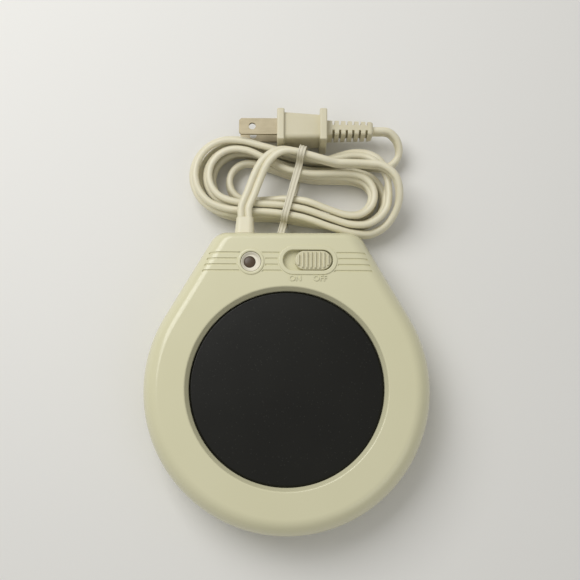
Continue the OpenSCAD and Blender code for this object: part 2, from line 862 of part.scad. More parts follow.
// Domed lens with a flange that stops it under the cup
module pilot_lens() {
    r = lens_d / 2;
    color([0.25, 0.12, 0.08])
        translate([lens_x, pilot_y, 0])
            rotate_extrude()
                polygon([[0, bezel_z - lens_flange_t], [r + 0.8, bezel_z - lens_flange_t],
                    [r + 0.8, bezel_z], [r, bezel_z], [r, body_h - 1.5], [r * 0.8, body_h - 1],
                    [r * 0.4, body_h - 0.75], [0, body_h - 0.7]]);
}

module neon_lamp() {
    color([0.95, 0.8, 0.7])
        translate([lens_x, 0, lamp_z])
            rotate([90, 0, 0])
                translate([0, 0, -lamp_back_y])
                    union() {
                        cylinder(d = lamp_d, h = lamp_l);
                        translate([0, 0, -0.6])
                            cylinder(d1 = lamp_d * 0.5, d2 = lamp_d, h = 0.6);
                    }
}

// Series resistor of the lamp, lying across the body behind the plate
resistor_l = 6.5;
resistor_d = 2.4;
resistor_at = [pilot_x + 8.4, pilot_y - 8.6, flange_z - retainer_t - resistor_d / 2 - 1.6];
module lamp_resistor() {
    color([0.7, 0.6, 0.45])
        translate(resistor_at)
            rotate([0, 90, 0])
                cylinder(d = resistor_d, h = resistor_l, center = true);
}

// Bare leads: lamp to splice, lamp to resistor and resistor to the switched terminal
module lamp_leads() {
    left = [lens_x - 0.8, lamp_front_y, lamp_z];
    right = [lens_x + 0.8, lamp_front_y, lamp_z];
    joint = splice + [0, 0, splice_w / 2];
    r0 = resistor_at - [resistor_l / 2, 0, 0];
    r1 = resistor_at + [resistor_l / 2, 0, 0];
    tag = [switch_x + terminal_x[1] - terminal_blade_t / 2, switch_y, blade_bottom_z + 2];
    color(steel) {
        wire(route([left, left + [0, -0.7, 0], bend(left, joint, 0.13, [0, -1.9, -0.9]),
            bend(left, joint, 0.68, [0, -0.8, 0.7]), joint + [0, 0, 1.4], joint], 3), lamp_lead_d);
        wire(route([right, right + [0, -0.7, 0], bend(right, r0, 0.04, [0, -1.9, -2.2]),
            bend(right, r0, 0.36, [0, -1.2, -2.6]), r0 - [1.2, 0, 0], r0], 3), lamp_lead_d);
        wire(route([r1, r1 + [1.2, 0, 0], bend(r1, tag, 0.31, [0, -2.3, -0.2]),
            bend(r1, tag, 0.63, [0, -2.6, -1.1]), bend(r1, tag, 0.84, [0, 0, -0.6]),
            tag - [1, 0, 0], tag], 3), lamp_lead_d);
    }
}

// Folded steel plate that carries the switch, screwed up under the recess
module switch_frame() {
    color(steel)
        translate([switch_x, switch_y, 0])
            difference() {
                union() {
                    box(-frame_l / 2, frame_l / 2, -frame_w / 2, frame_w / 2, frame_z, block_z);
                    for (s = [-1, 1])
                        translate([0, s * (frame_w / 2 - 0.3), 0])
                            box(-4, 4, -0.3, 0.3, frame_z - 4, frame_z + frame_t / 2);
                }
                box(-slot_l / 2, slot_l / 2, -slot_w / 2, slot_w / 2, frame_z - 1, block_z + 1);
                at_each([[-fix_x, 0], [fix_x, 0]])
                    peg(small_screw_d + 2 * pin_clear, frame_z - 1, block_z + 1);
            }
}

terminal_blade_t = 0.8;
terminal_blade_w = 3;
module switch_case() {
    color(dark)
        translate([switch_x, switch_y, 0])
            difference() {
                box(-case_l / 2, case_l / 2, -case_w / 2, case_w / 2, case_z, frame_z);
                box(-cavity_l / 2, cavity_l / 2, -cavity_w / 2, cavity_w / 2,
                    case_z + case_floor, frame_z + 1);
                for (x = terminal_x)
                    box(x - terminal_blade_t / 2 - pin_clear, x + terminal_blade_t / 2 + pin_clear,
                        -terminal_blade_w / 2 - pin_clear, terminal_blade_w / 2 + pin_clear,
                        case_z - 1, case_z + case_floor + 1);
            }
}

// Contact pads on the case floor, each with a blade through it
module switch_terminals() {
    pad_bottom = case_z + case_floor;
    color(copper)
        translate([switch_x, switch_y, 0])
            for (i = [0, 1])
                union() {
                    box(terminal_x[i] - terminal_l[i] / 2, terminal_x[i] + terminal_l[i] / 2, -2, 2,
                        pad_bottom, pad_bottom + terminal_t);
                    box(terminal_x[i] - terminal_blade_t / 2, terminal_x[i] + terminal_blade_t / 2,
                        -terminal_blade_w / 2, terminal_blade_w / 2,
                        blade_bottom_z, pad_bottom + terminal_t);
                }
}

module switch_screws() {
    color(steel)
        translate([switch_x, switch_y, 0])
            at_each([[-fix_x, 0], [fix_x, 0]])
                screw(small_screw_d, block_t + frame_t + 1, small_head_d, small_head_h, frame_z);
}

// Half length of a slider rib, shorter over the rounded ends
function rib_reach(i) =
    let (x = (abs(i - (rib_count - 1) / 2) + 0.3) * rib_pitch, over = max(0, x - (slider_l - slider_w) / 2))
    min(slider_w * 0.43, max(0.6, sqrt(max(0, slider_w * slider_w / 4 - over * over)) - 0.4));

// Ribbed thumb piece with a stem down to the shuttle
module thumb_slider() {
    bottom = recess_z + run_clear;
    top = body_h + slider_proud;
    rib_h = 0.6;
    color(cream)
        translate([slider_x, switch_y, 0])
            union() {
                slab(stadium(slider_l, slider_w), bottom, top - rib_h);
                for (i = [0:rib_count - 1])
                    translate([(i - (rib_count - 1) / 2) * rib_pitch, 0, 0])
                        box(-rib_pitch * 0.3, rib_pitch * 0.3, -rib_reach(i), rib_reach(i),
                            top - rib_h - merge / 2, top);
                box(-stem_l / 2, stem_l / 2, -stem_w / 2, stem_w / 2, shuttle_z + 1, bottom + merge);
            }
}

module switch_shuttle() {
    color(dark)
        translate([slider_x, switch_y, 0])
            difference() {
                box(-shuttle_l / 2, shuttle_l / 2, -shuttle_w / 2, shuttle_w / 2,
                    shuttle_z, shuttle_z + shuttle_h);
                box(-stem_l / 2 - pin_clear, stem_l / 2 + pin_clear, -stem_w / 2 - pin_clear,
                    stem_w / 2 + pin_clear, shuttle_z + 1 - pin_clear, shuttle_z + shuttle_h + 1);
            }
}

// Copper strip under the shuttle that joins both pads when the slider is at the left
module bridge_contact() {
    color(copper)
        translate([slider_x, switch_y, 0])
            box(-4.5, 4.5, -2, 2, shuttle_z - bridge_t, shuttle_z);
}

// Moulded bushing: tapered nose outside, flange inside the wall and a sleeve under the clamp
module cord_bushing() {
    flange_y = back_y - draft - wall - 0.6;
    nose_w = neck_w + 0.6;
    nose_h = neck_h + 0.6;
    nose = [[nose_w, nose_h, nose_y], [cord_w + 1, cord_t + 1, nose_end_y]];
    color(cream)
        difference() {
            union() {
                translate([bushing_x, 0, bushing_z])
                    along_y(stadium(neck_w, neck_h), sleeve_y, nose_y + merge);
                translate([bushing_x, 0, bushing_z])
                    along_y(stadium(neck_w + 3.4, neck_h + 3.2), flange_y - 2.4, flange_y);
                skin([for (v = nose) [for (p = stadium(v[0], v[1]))
                    [bushing_x + p[0], v[2], bushing_z - p[1]]]]);
            }
            translate([bushing_x, 0, bushing_z])
                along_y(stadium(cord_w + pin_clear, cord_t + pin_clear), sleeve_y - 1, nose_end_y + 1);
        }
}

module inner_cord() {
    color(cream)
        translate([bushing_x, 0, bushing_z])
            along_y(stadium(cord_w, cord_t), inner_end_y, nose_end_y);
}

module cord_clamp() {
    reach = clamp_x + clamp_post_d / 2;
    color(dark)
        difference() {
            box(bushing_x - reach, bushing_x + reach, clamp_y - clamp_post_d / 2, clamp_y + clamp_post_d / 2,
                clamp_bar_z - clamp_bar_t, clamp_bar_z);
            at_each([[bushing_x - clamp_x, clamp_y], [bushing_x + clamp_x, clamp_y]])
                peg(small_screw_d + 2 * pin_clear, clamp_bar_z - clamp_bar_t - 1, clamp_bar_z + 1);
        }
}

module cord_clamp_screws() {
    color(steel)
        at_each([[bushing_x - clamp_x, clamp_y], [bushing_x + clamp_x, clamp_y]])
            screw(small_screw_d, clamp_bar_t + small_screw_l, small_head_d, small_head_h,
                clamp_bar_z - clamp_bar_t);
}

// Inner wires, from the cord's cores to the switch, the fuse and the element
core_x = cord_w / 4;
crimp_left = [-tab_x, plate_y + tab_y, crimp_z];
crimp_right = [tab_x, plate_y + tab_y, crimp_z];
blade_live = [switch_x + terminal_x[0], switch_y, blade_bottom_z];
blade_out = [switch_x + terminal_x[1], switch_y, blade_bottom_z];
fuse_in = [fuse_x, plate_y + fuse_l / 2 + fuse_lead_l, fuse_z];
fuse_out = [fuse_x, plate_y - fuse_l / 2 - fuse_lead_l, fuse_z];

module live_wire() {
    core = [bushing_x + core_x, inner_end_y, bushing_z];
    out = core - [0, 2.5, 0];
    under = blade_live - [0, 0, 2];
    color([0.2, 0.2, 0.2])
        wire(route([core, out, bend(out, under, 0.16, [0, -4.5, -1.5]),
            bend(out, under, 0.5, [0, -4, -2.5]), bend(out, under, 0.82, [0, -1.4, -1]),
            under, blade_live], 3), wire_d);
}

module switched_wire() {
    under = blade_out - [0, 0, 2];
    out = fuse_in + [0, 2.5, 0];
    color([0.55, 0.2, 0.15])
        wire(route([blade_out, under, bend(under, out, 0.1, [0, 0, -0.5]),
            bend(under, out, 0.23, [0, 0, -0.6]), bend(under, out, 0.52, [0.8, 0, 0]),
            bend(under, out, 0.8, [0.3, 0, 0.4]), out, fuse_in], 3), wire_d);
}

module neutral_wire() {
    core = [bushing_x - core_x, inner_end_y, bushing_z];
    back = splice + [0, splice_l / 2, 0];
    front = splice - [0, splice_l / 2, 0];
    out = front - [0, 2, 0];
    under = crimp_left - [0, 0, 1.5];
    color([0.85, 0.85, 0.82]) {
        wire(route([core, core - [0, 2.5, 0], bend(core, back, 0.55, [0.2, 0, 0]),
            back + [0, 2, 0], back], 3), wire_d);
        wire(route([front, out, bend(out, under, 0.3, [-0.6, 0, -0.6]),
            bend(out, under, 0.72, [-0.9, 0, -0.4]), under, crimp_left], 3), wire_d);
    }
}

module fuse_wire() {
    out = fuse_out - [0, 2.5, 0];
    under = crimp_right - [0, 0, 1.5];
    run = [under[0], out[1], under[2]];
    color([0.55, 0.2, 0.15])
        wire(route([fuse_out, out, bend(out, run, 0.12, [0, -5, -1]),
            bend(out, run, 0.5, [0, -7.5, -0.8]), bend(out, run, 0.88, [0, -3, 0]),
            bend(run, under, 0.3, [0, 0, 0]), bend(run, under, 0.75, [0, 0, -0.2]),
            under, crimp_right], 3), wire_d);
}

// Hank: one flat cord on edge, in two loose layers of loops between two folds
fold_left = [-27.3, 98.8];
fold_right = [34.9, 88];
hank_u = unit(fold_right - fold_left);
hank_n = [-hank_u[1], hank_u[0]];
low_z = hank_z + cord_w / 2;
high_z = low_z + layer_pitch;
slots = 3;
run_stations = [0.2, 0.4, 0.6, 0.8];
fold_rings = 8;
lead_in = 0.86;

// How far the left and right folds of each loop fall short of the outermost, in the two layers
high_short = [[0, 2.6, 6.5], [0, 1.2, 4]];
low_short = [[2.2, 4.4, 8.5], [0.6, 2.6, 3.2]];
// First fold, from the lead over the slack loop and down: outside the outer loop, above the layer
first_fold = [[-3.2, 6.2], [-1.4, 6.9], [-0.1, 6.8], [0, 4.6], [0, 0.4], [0, -2.8], [0, -3.8], [0, -2.2]];
// Slack loop that bulges towards the plug: along the run, outside the outer loop, above the layer
slack_loop = [[0.68, -2.8, -0.2], [0.79, 0.7, -1], [0.895, 3.5, -1.7], [0.99, 4, -1.6],
    [1.07, 2.2, -0.8], [1.13, -1.3, -0.6], [1.172, -5.9, -0.4]];
slack_lean = 50;
// How far the loops lean inwards at places along the hank, and the share of it in the lower layer
lean_by = [[-0.3, 25], [0.12, 24], [0.3, 4], [0.58, 0], [0.85, -18], [1.3, -24]];
low_lean = 0.3;

function slot_r(slot) = fold_r - slot * slot_pitch;
function drawn(s) = waist * pow(sin(180 * s), 2);
// Share of a step to the next slot, made in the first part of a run
function stepped(s) = min(1, s / 0.4);
// Share of the climb between the layers, made in the last part of a run
function climbed(s) = max(0, (s - 0.4) / 0.6);
function level(p, z) = [p[0], p[1], z];
function at_slot(row, slot) = lookup(slot, [for (i = [0:slots - 1]) [i, row[i]]]);
function layer_share(z) = max(0, min(1, (z - low_z) / layer_pitch));
function shorter(end, slot, z) = let (share = layer_share(z))
    at_slot(low_short[end], slot) * (1 - share) + at_slot(high_short[end], slot) * share;
function left_of(slot, z) = fold_left + hank_u * shorter(0, slot, z);
function right_of(slot, z) = fold_right - hank_u * shorter(1, slot, z);
function far_at(s, slot, z) = let (a = left_of(slot, z), b = right_of(slot, z))
    level(a + (b - a) * s + hank_n * (slot_r(slot) - drawn(s)), z);
function near_at(s, slot, z) = let (a = left_of(slot, z), b = right_of(slot, z))
    level(b + (a - b) * s - hank_n * (slot_r(slot) - drawn(s)), z);
function turned(i) = let (a = 180 * i / (fold_rings - 1)) hank_n * cos(a) + hank_u * sin(a);
function fold_at(side, slot, z) = let (centre = side < 0 ? left_of(slot, z) : right_of(slot, z))
    [for (i = [0:fold_rings - 1]) level(centre + side * slot_r(slot) * turned(i), z)];

// First loop of the upper layer, with the slack loop that leads into the next
hank_first = concat([far_at(lead_in, 0.95, high_z + 6)],
    [for (i = [0:fold_rings - 1])
        level(fold_right + (fold_r + first_fold[i][0]) * turned(i), high_z + first_fold[i][1])],
    [for (s = run_stations) near_at(s, 0, high_z)], fold_at(-1, 0, high_z),
    [for (i = [0, 1]) far_at(run_stations[i], 0, high_z)]);
hank_slack = [for (k = slack_loop)
    level(fold_left + (fold_right - fold_left) * k[0] + hank_n * (fold_r + k[1]), high_z + k[2])];
slack_joins = 3;
hank_upper = [for (k = [1:slots - 1]) let (fold = fold_at(1, k, high_z), last = k == slots - 1) each concat(
    [for (i = [k == 1 ? slack_joins : 0:fold_rings - 1]) fold[i]],
    [for (s = run_stations) near_at(s, k, high_z - (last ? layer_pitch * climbed(s) : 0))],
    fold_at(-1, k, last ? low_z : high_z),
    last ? [] : [for (s = run_stations) far_at(s, k + stepped(s), high_z)])];
hank_lower = [for (k = [slots - 1:-1:1]) each concat(
    [for (s = run_stations) far_at(s, k, low_z)],
    fold_at(1, k, low_z),
    [for (s = run_stations) near_at(s, k - stepped(s), low_z)],
    fold_at(-1, k - 1, low_z))];
hank_path = concat(hank_first, hank_slack, hank_upper, hank_lower,
    [for (s = run_stations) far_at(s, 0, low_z)], [far_at(1, 0, low_z)]);
slack_from = len(hank_first);
slack_to = slack_from + len(hank_slack);
function along(p) = ([p[0], p[1]] - fold_left) * hank_u / norm(fold_right - fold_left);
function leaning(i) = let (p = hank_path[i])
    i <= fold_rings || i > len(hank_path) - 3 ? 0 :
    i >= slack_from && i < slack_to
        ? slack_lean * sin(180 * (i - slack_from + 1) / (slack_to - slack_from + 1)) :
    lookup(along(p), lean_by) * (low_lean + (1 - low_lean) * layer_share(p[2]));
hank_rolls = [for (i = [0:len(hank_path) - 1]) 90 - leaning(i)];
hank_start = hank_path[0];
hank_start_dir = heading(hank_path, 0);
hank_end = hank_path[len(hank_path) - 1];
hank_end_dir = heading(hank_path, len(hank_path) - 1);

// Least gap of the hank to itself: three round cores at each point against those further along
hank_cores = [for (i = [0:len(hank_path) - 1])
    let (t = heading(hank_path, i), s = unit(cross(t, [0, 0, 1])), u = cross(s, t),
         a = s * cos(hank_rolls[i]) + u * sin(hank_rolls[i]))
    [for (k = [-1, 0, 1]) hank_path[i] + a * k * (cord_w - cord_t) / 2]];
hank_gap = min([for (i = [0:len(hank_cores) - 1]) for (j = [i + 5:1:len(hank_cores) - 1])
    for (a = hank_cores[i]) for (b = hank_cores[j]) norm(a - b)]) - cord_t;
function total(v, i = 0) = i == len(v) ? 0 : v[i] + total(v, i + 1);
function run_length(p) = total([for (i = [1:len(p) - 1]) norm(p[i] - p[i - 1])]);
echo(hank_least_gap = hank_gap, hank_loops = 2 * slots - 1, hank_length = run_length(hank_path));

// Sections of the flat cord: six sides in the hank, eight where it runs free
hank_section = [[cord_w / 2, 0], [cord_w / 2 - 1.2, cord_t / 2], [1.2 - cord_w / 2, cord_t / 2],
    [-cord_w / 2, 0], [1.2 - cord_w / 2, -cord_t / 2], [cord_w / 2 - 1.2, -cord_t / 2]];
cord_section = rounded(cord_w, cord_t, 0.95, 1);

module cord_hank() {
    color(cream)
        ribbon(hank_path, hank_section, hank_rolls);
}

// Free lead from the bushing: flat over the hank, then on edge down into its outer loop
lead_points = [[bushing_x, nose_end_y, bushing_z], [bushing_x, nose_end_y + 5, bushing_z + 0.2],
    [-17.4, 88, 18.4], [-14.4, 96, 18.9], [-10.9, 103, 19.7], [-5.6, 107.7, 20], [0.6, 108.8, 20],
    [8.2, 106.5, 20.1], [16.5, 104.1, 19.8], hank_start - 5 * hank_start_dir, hank_start];
lead_steps = 2;
lead_path = route(lead_points, lead_steps);
lead_flat = 5;
lead_edge = 13;
function lead_roll(i) = 90 * max(0, min(1, (i - lead_flat) / (lead_edge - lead_flat)));

module cord_lead() {
    color(cream)
        ribbon(lead_path, cord_section, [for (i = [0:len(lead_path) - 1]) lead_roll(i)]);
}

// Tail from the hank's last loop round to the plug's strain relief, on edge
plug_gap = 0.7;
plug_y = far_at(0.3, 0, high_z)[1] + cord_t / 2 + plug_gap + plug_flange_w / 2;
plug_z = plug_flange_h / 2;
plug_face_x = -5.3;
relief_x = 18.5;
tail_x = relief_x + relief_l;
tail_points = [hank_end, hank_end + 5 * hank_end_dir, [48.6, 105.2, 4.9], [52.8, 108.6, 5.5],
    [54, 113, plug_z - 4], [52.4, plug_y - 3.6, plug_z - 1.8], [48.7, plug_y - 0.5, plug_z - 0.2],
    [tail_x + 4, plug_y, plug_z], [tail_x, plug_y, plug_z]];
tail_path = route(tail_points, 2);

module cord_tail() {
    color(cream)
        ribbon(tail_path, cord_section, [for (p = tail_path) 90]);
}
echo(cord_length = run_length(lead_path) + run_length(hank_path) + run_length(tail_path));

// Twist tie: flat strip with a wire, once round the waist of the hank and over the lead
tie_w = 3.4;
tie_t = 0.8;
tie_at = fold_left + (fold_right - fold_left) * 0.485;
// The tie leans to the right at its far side, by this share of its reach
tie_lean = 0.09;
tie_n = unit(hank_n + hank_u * tie_lean);
function tie_point(q, z) = level(tie_at + tie_n * q, z);
tie_points = [tie_point(-24, 10.6), tie_point(-20.5, 10.4), tie_point(-18.3, 11.6), tie_point(-17.9, 14.6),
    tie_point(-16.4, 16.8), tie_point(-9, 17.1), tie_point(2, 17.1), tie_point(9.2, 17.3),
    tie_point(10.5, 19.4), tie_point(10.9, 22), tie_point(11.9, 24), tie_point(13.6, 24.7),
    tie_point(15.5, 24.4), tie_point(16.9, 22.6), tie_point(17.5, 18.8),
    tie_point(17.8, 14), tie_point(17.9, 8), tie_point(17.9, 2.6), tie_point(16.5, 0.5), tie_point(9, 0.5),
    tie_point(-9, 0.5), tie_point(-16.4, 0.5), tie_point(-18, 2.8), tie_point(-18.3, 7.2),
    tie_point(-20.5, 8.8), tie_point(-24, 8.8)];
module twist_tie() {
    side = [tie_n[1], -tie_n[0]];
    n = len(tie_points);
    color(pale)
        skin([for (i = [0:n - 1])
            let (t = heading(tie_points, i), a = [side[0], side[1], 0], b = cross(t, a))
            [for (c = [[1, 1], [-1, 1], [-1, -1], [1, -1]])
                tie_points[i] + a * c[0] * tie_w / 2 + b * c[1] * tie_t / 2]]);
}

// Plug: body between two finger flanges, with a slotted strain relief behind
plug_flange_t = 3.5;
plug_body_l = relief_x - plug_face_x;
module plug_body() {
    color(cream)
        translate([0, plug_y, plug_z])
            difference() {
                union() {
                    along_x(rounded(plug_flange_w, plug_flange_h, 2), plug_face_x,
                        plug_face_x + plug_flange_t);
                    tapered_x(rounded(plug_w, plug_h, 2.4), plug_taper,
                        plug_face_x + plug_flange_t - merge, relief_x - plug_flange_t + merge);
                    along_x(rounded(plug_flange_w, plug_flange_h, 2), relief_x - plug_flange_t, relief_x);
                    tapered_x(rounded(relief_w, relief_h, 1.6), relief_taper, relief_x - merge, tail_x);
                }
                relief_slots();
                for (s = [-1, 1])
                    box(plug_face_x - 1, plug_face_x + blade_root, -blade_wide / 2 - pin_clear,
                        blade_wide / 2 + pin_clear, s * blade_gap / 2 - blade_t / 2 - pin_clear,
                        s * blade_gap / 2 + blade_t / 2 + pin_clear);
            }
}

// Section drawn in evenly along X, down to a share of its size
module tapered_x(shape, share, x0, x1) {
    skin([for (v = [[x0, 1], [x1, share]]) [for (p = shape) [v[0], v[1] * p[0], v[1] * p[1]]]]);
}

// Slots cut in from both sides, so that the relief can bend
relief_taper = 0.86;
slot_count = 6;
slot_t = 1.1;
module relief_slots() {
    deep = relief_w * 0.34;
    step = relief_l / (slot_count + 1);
    for (i = [1:slot_count])
        for (s = [-1, 1])
            translate([relief_x + step * i, s * (relief_w / 2 + 1 - deep / 2), 0])
                cube([slot_t, deep + 2, relief_h * 2], center = true);
}

blade_root = 9;
blade_hole_x = 11.9;
module plug_blade(width, z) {
    tip = 1;
    color(steel)
        translate([plug_face_x, plug_y, plug_z + z])
            difference() {
                translate([0, 0, -blade_t / 2])
                    linear_extrude(height = blade_t)
                        polygon([[blade_root, -width / 2], [blade_root, width / 2],
                            [tip - blade_l, width / 2], [-blade_l, width / 2 - tip],
                            [-blade_l, tip - width / 2], [tip - blade_l, -width / 2]]);
                translate([-blade_hole_x, 0, 0])
                    cylinder(d = blade_hole_d, h = blade_t * 3, center = true);
            }
}

module plug_blade_wide() {
    plug_blade(blade_wide, blade_gap / 2);
}

module plug_blade_narrow() {
    plug_blade(blade_narrow, -blade_gap / 2);
}

upper_housing();
base_cover();
rubber_feet();
housing_screws();
heating_plate();
plate_gasket();
retainer_ring();
retainer_screws();
mica_upper();
heating_element();
mica_lower();
insulation_pad();
clamp_plate();
plate_nut();
heat_shield();
thermal_fuse();
fuse_clip();
crimp_connectors();
pilot_bezel();
pilot_lens();
neon_lamp();
lamp_resistor();
lamp_leads();
switch_frame();
switch_case();
switch_terminals();
switch_screws();
thumb_slider();
switch_shuttle();
bridge_contact();
cord_bushing();
inner_cord();
cord_clamp();
cord_clamp_screws();
live_wire();
switched_wire();
neutral_wire();
fuse_wire();
cord_lead();
cord_hank();
cord_tail();
twist_tie();
plug_body();
plug_blade_wide();
plug_blade_narrow();
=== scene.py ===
from math import asin, atan2, cos, hypot, pi, radians, sin, sqrt, tan

import bmesh
import bpy
import numpy as np
from mathutils import Matrix, Vector


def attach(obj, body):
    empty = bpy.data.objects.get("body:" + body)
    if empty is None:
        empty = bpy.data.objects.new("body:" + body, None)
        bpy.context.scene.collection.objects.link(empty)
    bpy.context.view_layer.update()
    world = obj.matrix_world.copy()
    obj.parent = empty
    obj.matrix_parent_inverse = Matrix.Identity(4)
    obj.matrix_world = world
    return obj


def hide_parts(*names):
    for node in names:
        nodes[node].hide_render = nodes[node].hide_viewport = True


# Electric candle warmer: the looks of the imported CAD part, in metres and in its frame.
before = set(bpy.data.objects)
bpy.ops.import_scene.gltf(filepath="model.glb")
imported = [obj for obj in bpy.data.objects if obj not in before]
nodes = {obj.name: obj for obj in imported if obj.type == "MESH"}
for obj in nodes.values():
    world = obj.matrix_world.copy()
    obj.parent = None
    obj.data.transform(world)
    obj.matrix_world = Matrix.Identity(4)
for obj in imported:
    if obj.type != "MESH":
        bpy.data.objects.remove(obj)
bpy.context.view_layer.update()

# Base cover: the shallow tray that closes the warmer from below.
# Injection-moulded ABS in the same cream as the top, with a radius along its lower edge;
# four deep counterbores take the housing screws.
mm = 0.001
body_r = 65 * mm
back_reach = 72 * mm
plate_y = (body_r - back_reach) / 2
back_y = plate_y + back_reach
back_w = 74.5 * mm
corner_r = 9 * mm
corner_at = (back_w / 2 - corner_r, back_reach - corner_r)
side_angle = asin((body_r - corner_r) / hypot(*corner_at)) - atan2(*corner_at)
wall = 2.4 * mm
foot_h = 2 * mm
parting_z = 8 * mm
lip_h = 3 * mm
base_step = 1 * mm
base_radius = 2 * mm
lip_in = 2.9 * mm
lip_wall = 2 * mm
pillar_r = 4.5 * mm
pillar_top = 12 * mm
counterbore_r = 2.8 * mm
counterbore_top = 6 * mm
screw_hole_r = 1.45 * mm
# How deep a joined solid is rooted in its wall, and how far a cutter reaches past the face it cuts
rooted = 0.8 * mm
cut_past = 1 * mm


def linear(hex_colour):
    """sRGB hex colour as linear red, green, blue and alpha."""
    parts = [int(hex_colour[i:i + 2], 16) / 255 for i in (1, 3, 5)]
    return tuple(c / 12.92 if c <= 0.04045 else ((c + 0.055) / 1.055) ** 2.4 for c in parts) + (1.0,)


def add(tree, kind, inputs=None, **settings):
    """One node with its settings; inputs are values or sockets to link, by name or place."""
    node = tree.nodes.new(kind)
    for name, value in settings.items():
        setattr(node, name, value)
    for key, value in (inputs or {}).items():
        if isinstance(value, bpy.types.NodeSocket):
            tree.links.new(value, node.inputs[key])
        else:
            node.inputs[key].default_value = value
    return node


def new_material(name):
    """Empty node material with its tree, Object coordinates and output."""
    material = bpy.data.materials.new(name)
    material.use_nodes = True
    tree = material.node_tree
    tree.nodes.clear()
    coords = add(tree, "ShaderNodeTexCoord").outputs["Object"]
    return material, tree, coords


def noise(tree, coords, size, detail):
    """Cloudy 0 to 1 value with blotches of about one size in metres."""
    cloud = add(tree, "ShaderNodeTexNoise", {"Vector": coords, "Scale": 1 / size, "Detail": detail})
    return cloud.outputs["Fac"]


def toned(tree, share, dark_hex, light_hex):
    """Colour between two, by a 0 to 1 value."""
    mix = add(tree, "ShaderNodeMix", {"Factor": share, "A": linear(dark_hex), "B": linear(light_hex)},
              data_type="RGBA")
    return mix.outputs["Result"]


def ranged(tree, value, low, high):
    """A 0 to 1 value spread between two others."""
    spread = add(tree, "ShaderNodeMapRange", {"Value": value, "To Min": low, "To Max": high})
    return spread.outputs["Result"]


def bumped(tree, height, strength, distance, under=None):
    """Normal raised by a value, on top of another normal where one is given."""
    inputs = {"Height": height, "Strength": strength, "Distance": distance}
    if under:
        inputs["Normal"] = under
    return add(tree, "ShaderNodeBump", inputs).outputs["Normal"]


def surfaced(tree, inputs):
    """The material's surface, joined to its output."""
    surface = add(tree, "ShaderNodeBsdfPrincipled", inputs)
    add(tree, "ShaderNodeOutputMaterial", {"Surface": surface.outputs["BSDF"]})


def linked(name, data):
    """A new object at the origin, in the scene."""
    thing = bpy.data.objects.new(name, data)
    bpy.context.scene.collection.objects.link(thing)
    return thing


def piece_of(name, mesh, material):
    """A finished piece at the origin, with its place in its mesh."""
    mesh.name = name
    piece = linked(name, mesh)
    piece.data.materials.clear()
    piece.data.materials.append(material)
    return piece


def body_plan(inset, back_inset, arc_steps=200, corner_steps=20):
    """Plan of the body drawn in by inset round the ring and sides, and by back_inset at the back."""
    r = body_r - inset
    a = side_angle
    rc = max(corner_r - 0.6 * inset, 1 * mm)
    cy = back_reach - back_inset - rc
    cx = (r - rc - sin(a) * cy) / cos(a)
    right = np.linspace(a, pi / 2, corner_steps + 1)
    left = np.linspace(pi / 2, pi - a, corner_steps + 1)[1:]
    points = [(r * cos(t), plate_y + r * sin(t))
              for t in np.linspace(pi - a, 2 * pi + a, arc_steps + 1)]
    for x, turn in ((cx, right), (-cx, left)):
        points += [(x + rc * cos(t), plate_y + cy + rc * sin(t)) for t in turn]
    return points


def skin(rings):
    """Mesh through rings of equal length, counter-clockwise about the way they advance."""
    bm = bmesh.new()
    rows = [[bm.verts.new(p) for p in ring] for ring in rings]
    count = len(rows[0])
    for low, high in zip(rows, rows[1:]):
        for i in range(count):
            j = (i + 1) % count
            bm.faces.new((low[i], low[j], high[j], high[i]))
    bm.faces.new(rows[0][::-1])
    bm.faces.new(rows[-1])
    mesh = bpy.data.meshes.new("skin")
    bm.to_mesh(mesh)
    bm.free()
    return mesh


def mended(mesh, weld=0.0):
    """The mesh with points closer than weld joined, and all its faces turned outwards."""
    bm = bmesh.new()
    bm.from_mesh(mesh)
    if weld:
        bmesh.ops.remove_doubles(bm, verts=bm.verts, dist=weld)
    bmesh.ops.recalc_face_normals(bm, faces=bm.faces)
    bm.to_mesh(mesh)
    bm.free()
    return mesh


def lathe(profile, centre, steps):
    """Closed turned solid from (radius, height) points that start and end on the axis."""
    turns = [2 * pi * i / steps for i in range(steps)]
    mesh = skin([[(radius * cos(t), radius * sin(t), height) for t in turns]
                 for radius, height in profile])
    mesh.transform(Matrix.Translation(centre))
    return mended(mesh, weld=1e-7)


def applied(carrier):
    """Mesh of an object after its modifiers; the object itself goes."""
    mesh = bpy.data.meshes.new_from_object(carrier.evaluated_get(bpy.context.evaluated_depsgraph_get()))
    bpy.data.objects.remove(carrier)
    return mesh


def shaped(mesh, cuts=(), joins=(), sharp=32):
    """Plain mesh after its cuts and joins, smooth but for edges sharper than an angle."""
    solid = linked("solid", mesh)
    tools = []
    for operation, group in (("UNION", joins), ("DIFFERENCE", cuts)):
        for tool_mesh in group:
            tool = linked("tool", tool_mesh)
            tools.append(tool)
            boolean = solid.modifiers.new("tool", "BOOLEAN")
            boolean.operation = operation
            boolean.solver = "EXACT"
            boolean.object = tool
    result = applied(solid)
    for tool in tools:
        bpy.data.objects.remove(tool)
    result.polygons.foreach_set("use_smooth", [True] * len(result.polygons))
    result.set_sharp_from_angle(angle=radians(sharp))
    even = linked("even", result)
    normals = even.modifiers.new("normals", "WEIGHTED_NORMAL")
    normals.keep_sharp = True
    return applied(even)


def post(x, y, radius, low, high, steps=48):
    """Upright round solid for joining or cutting."""
    return lathe([(0, low), (radius, low), (radius, high), (0, high)], (x, y, 0), steps)


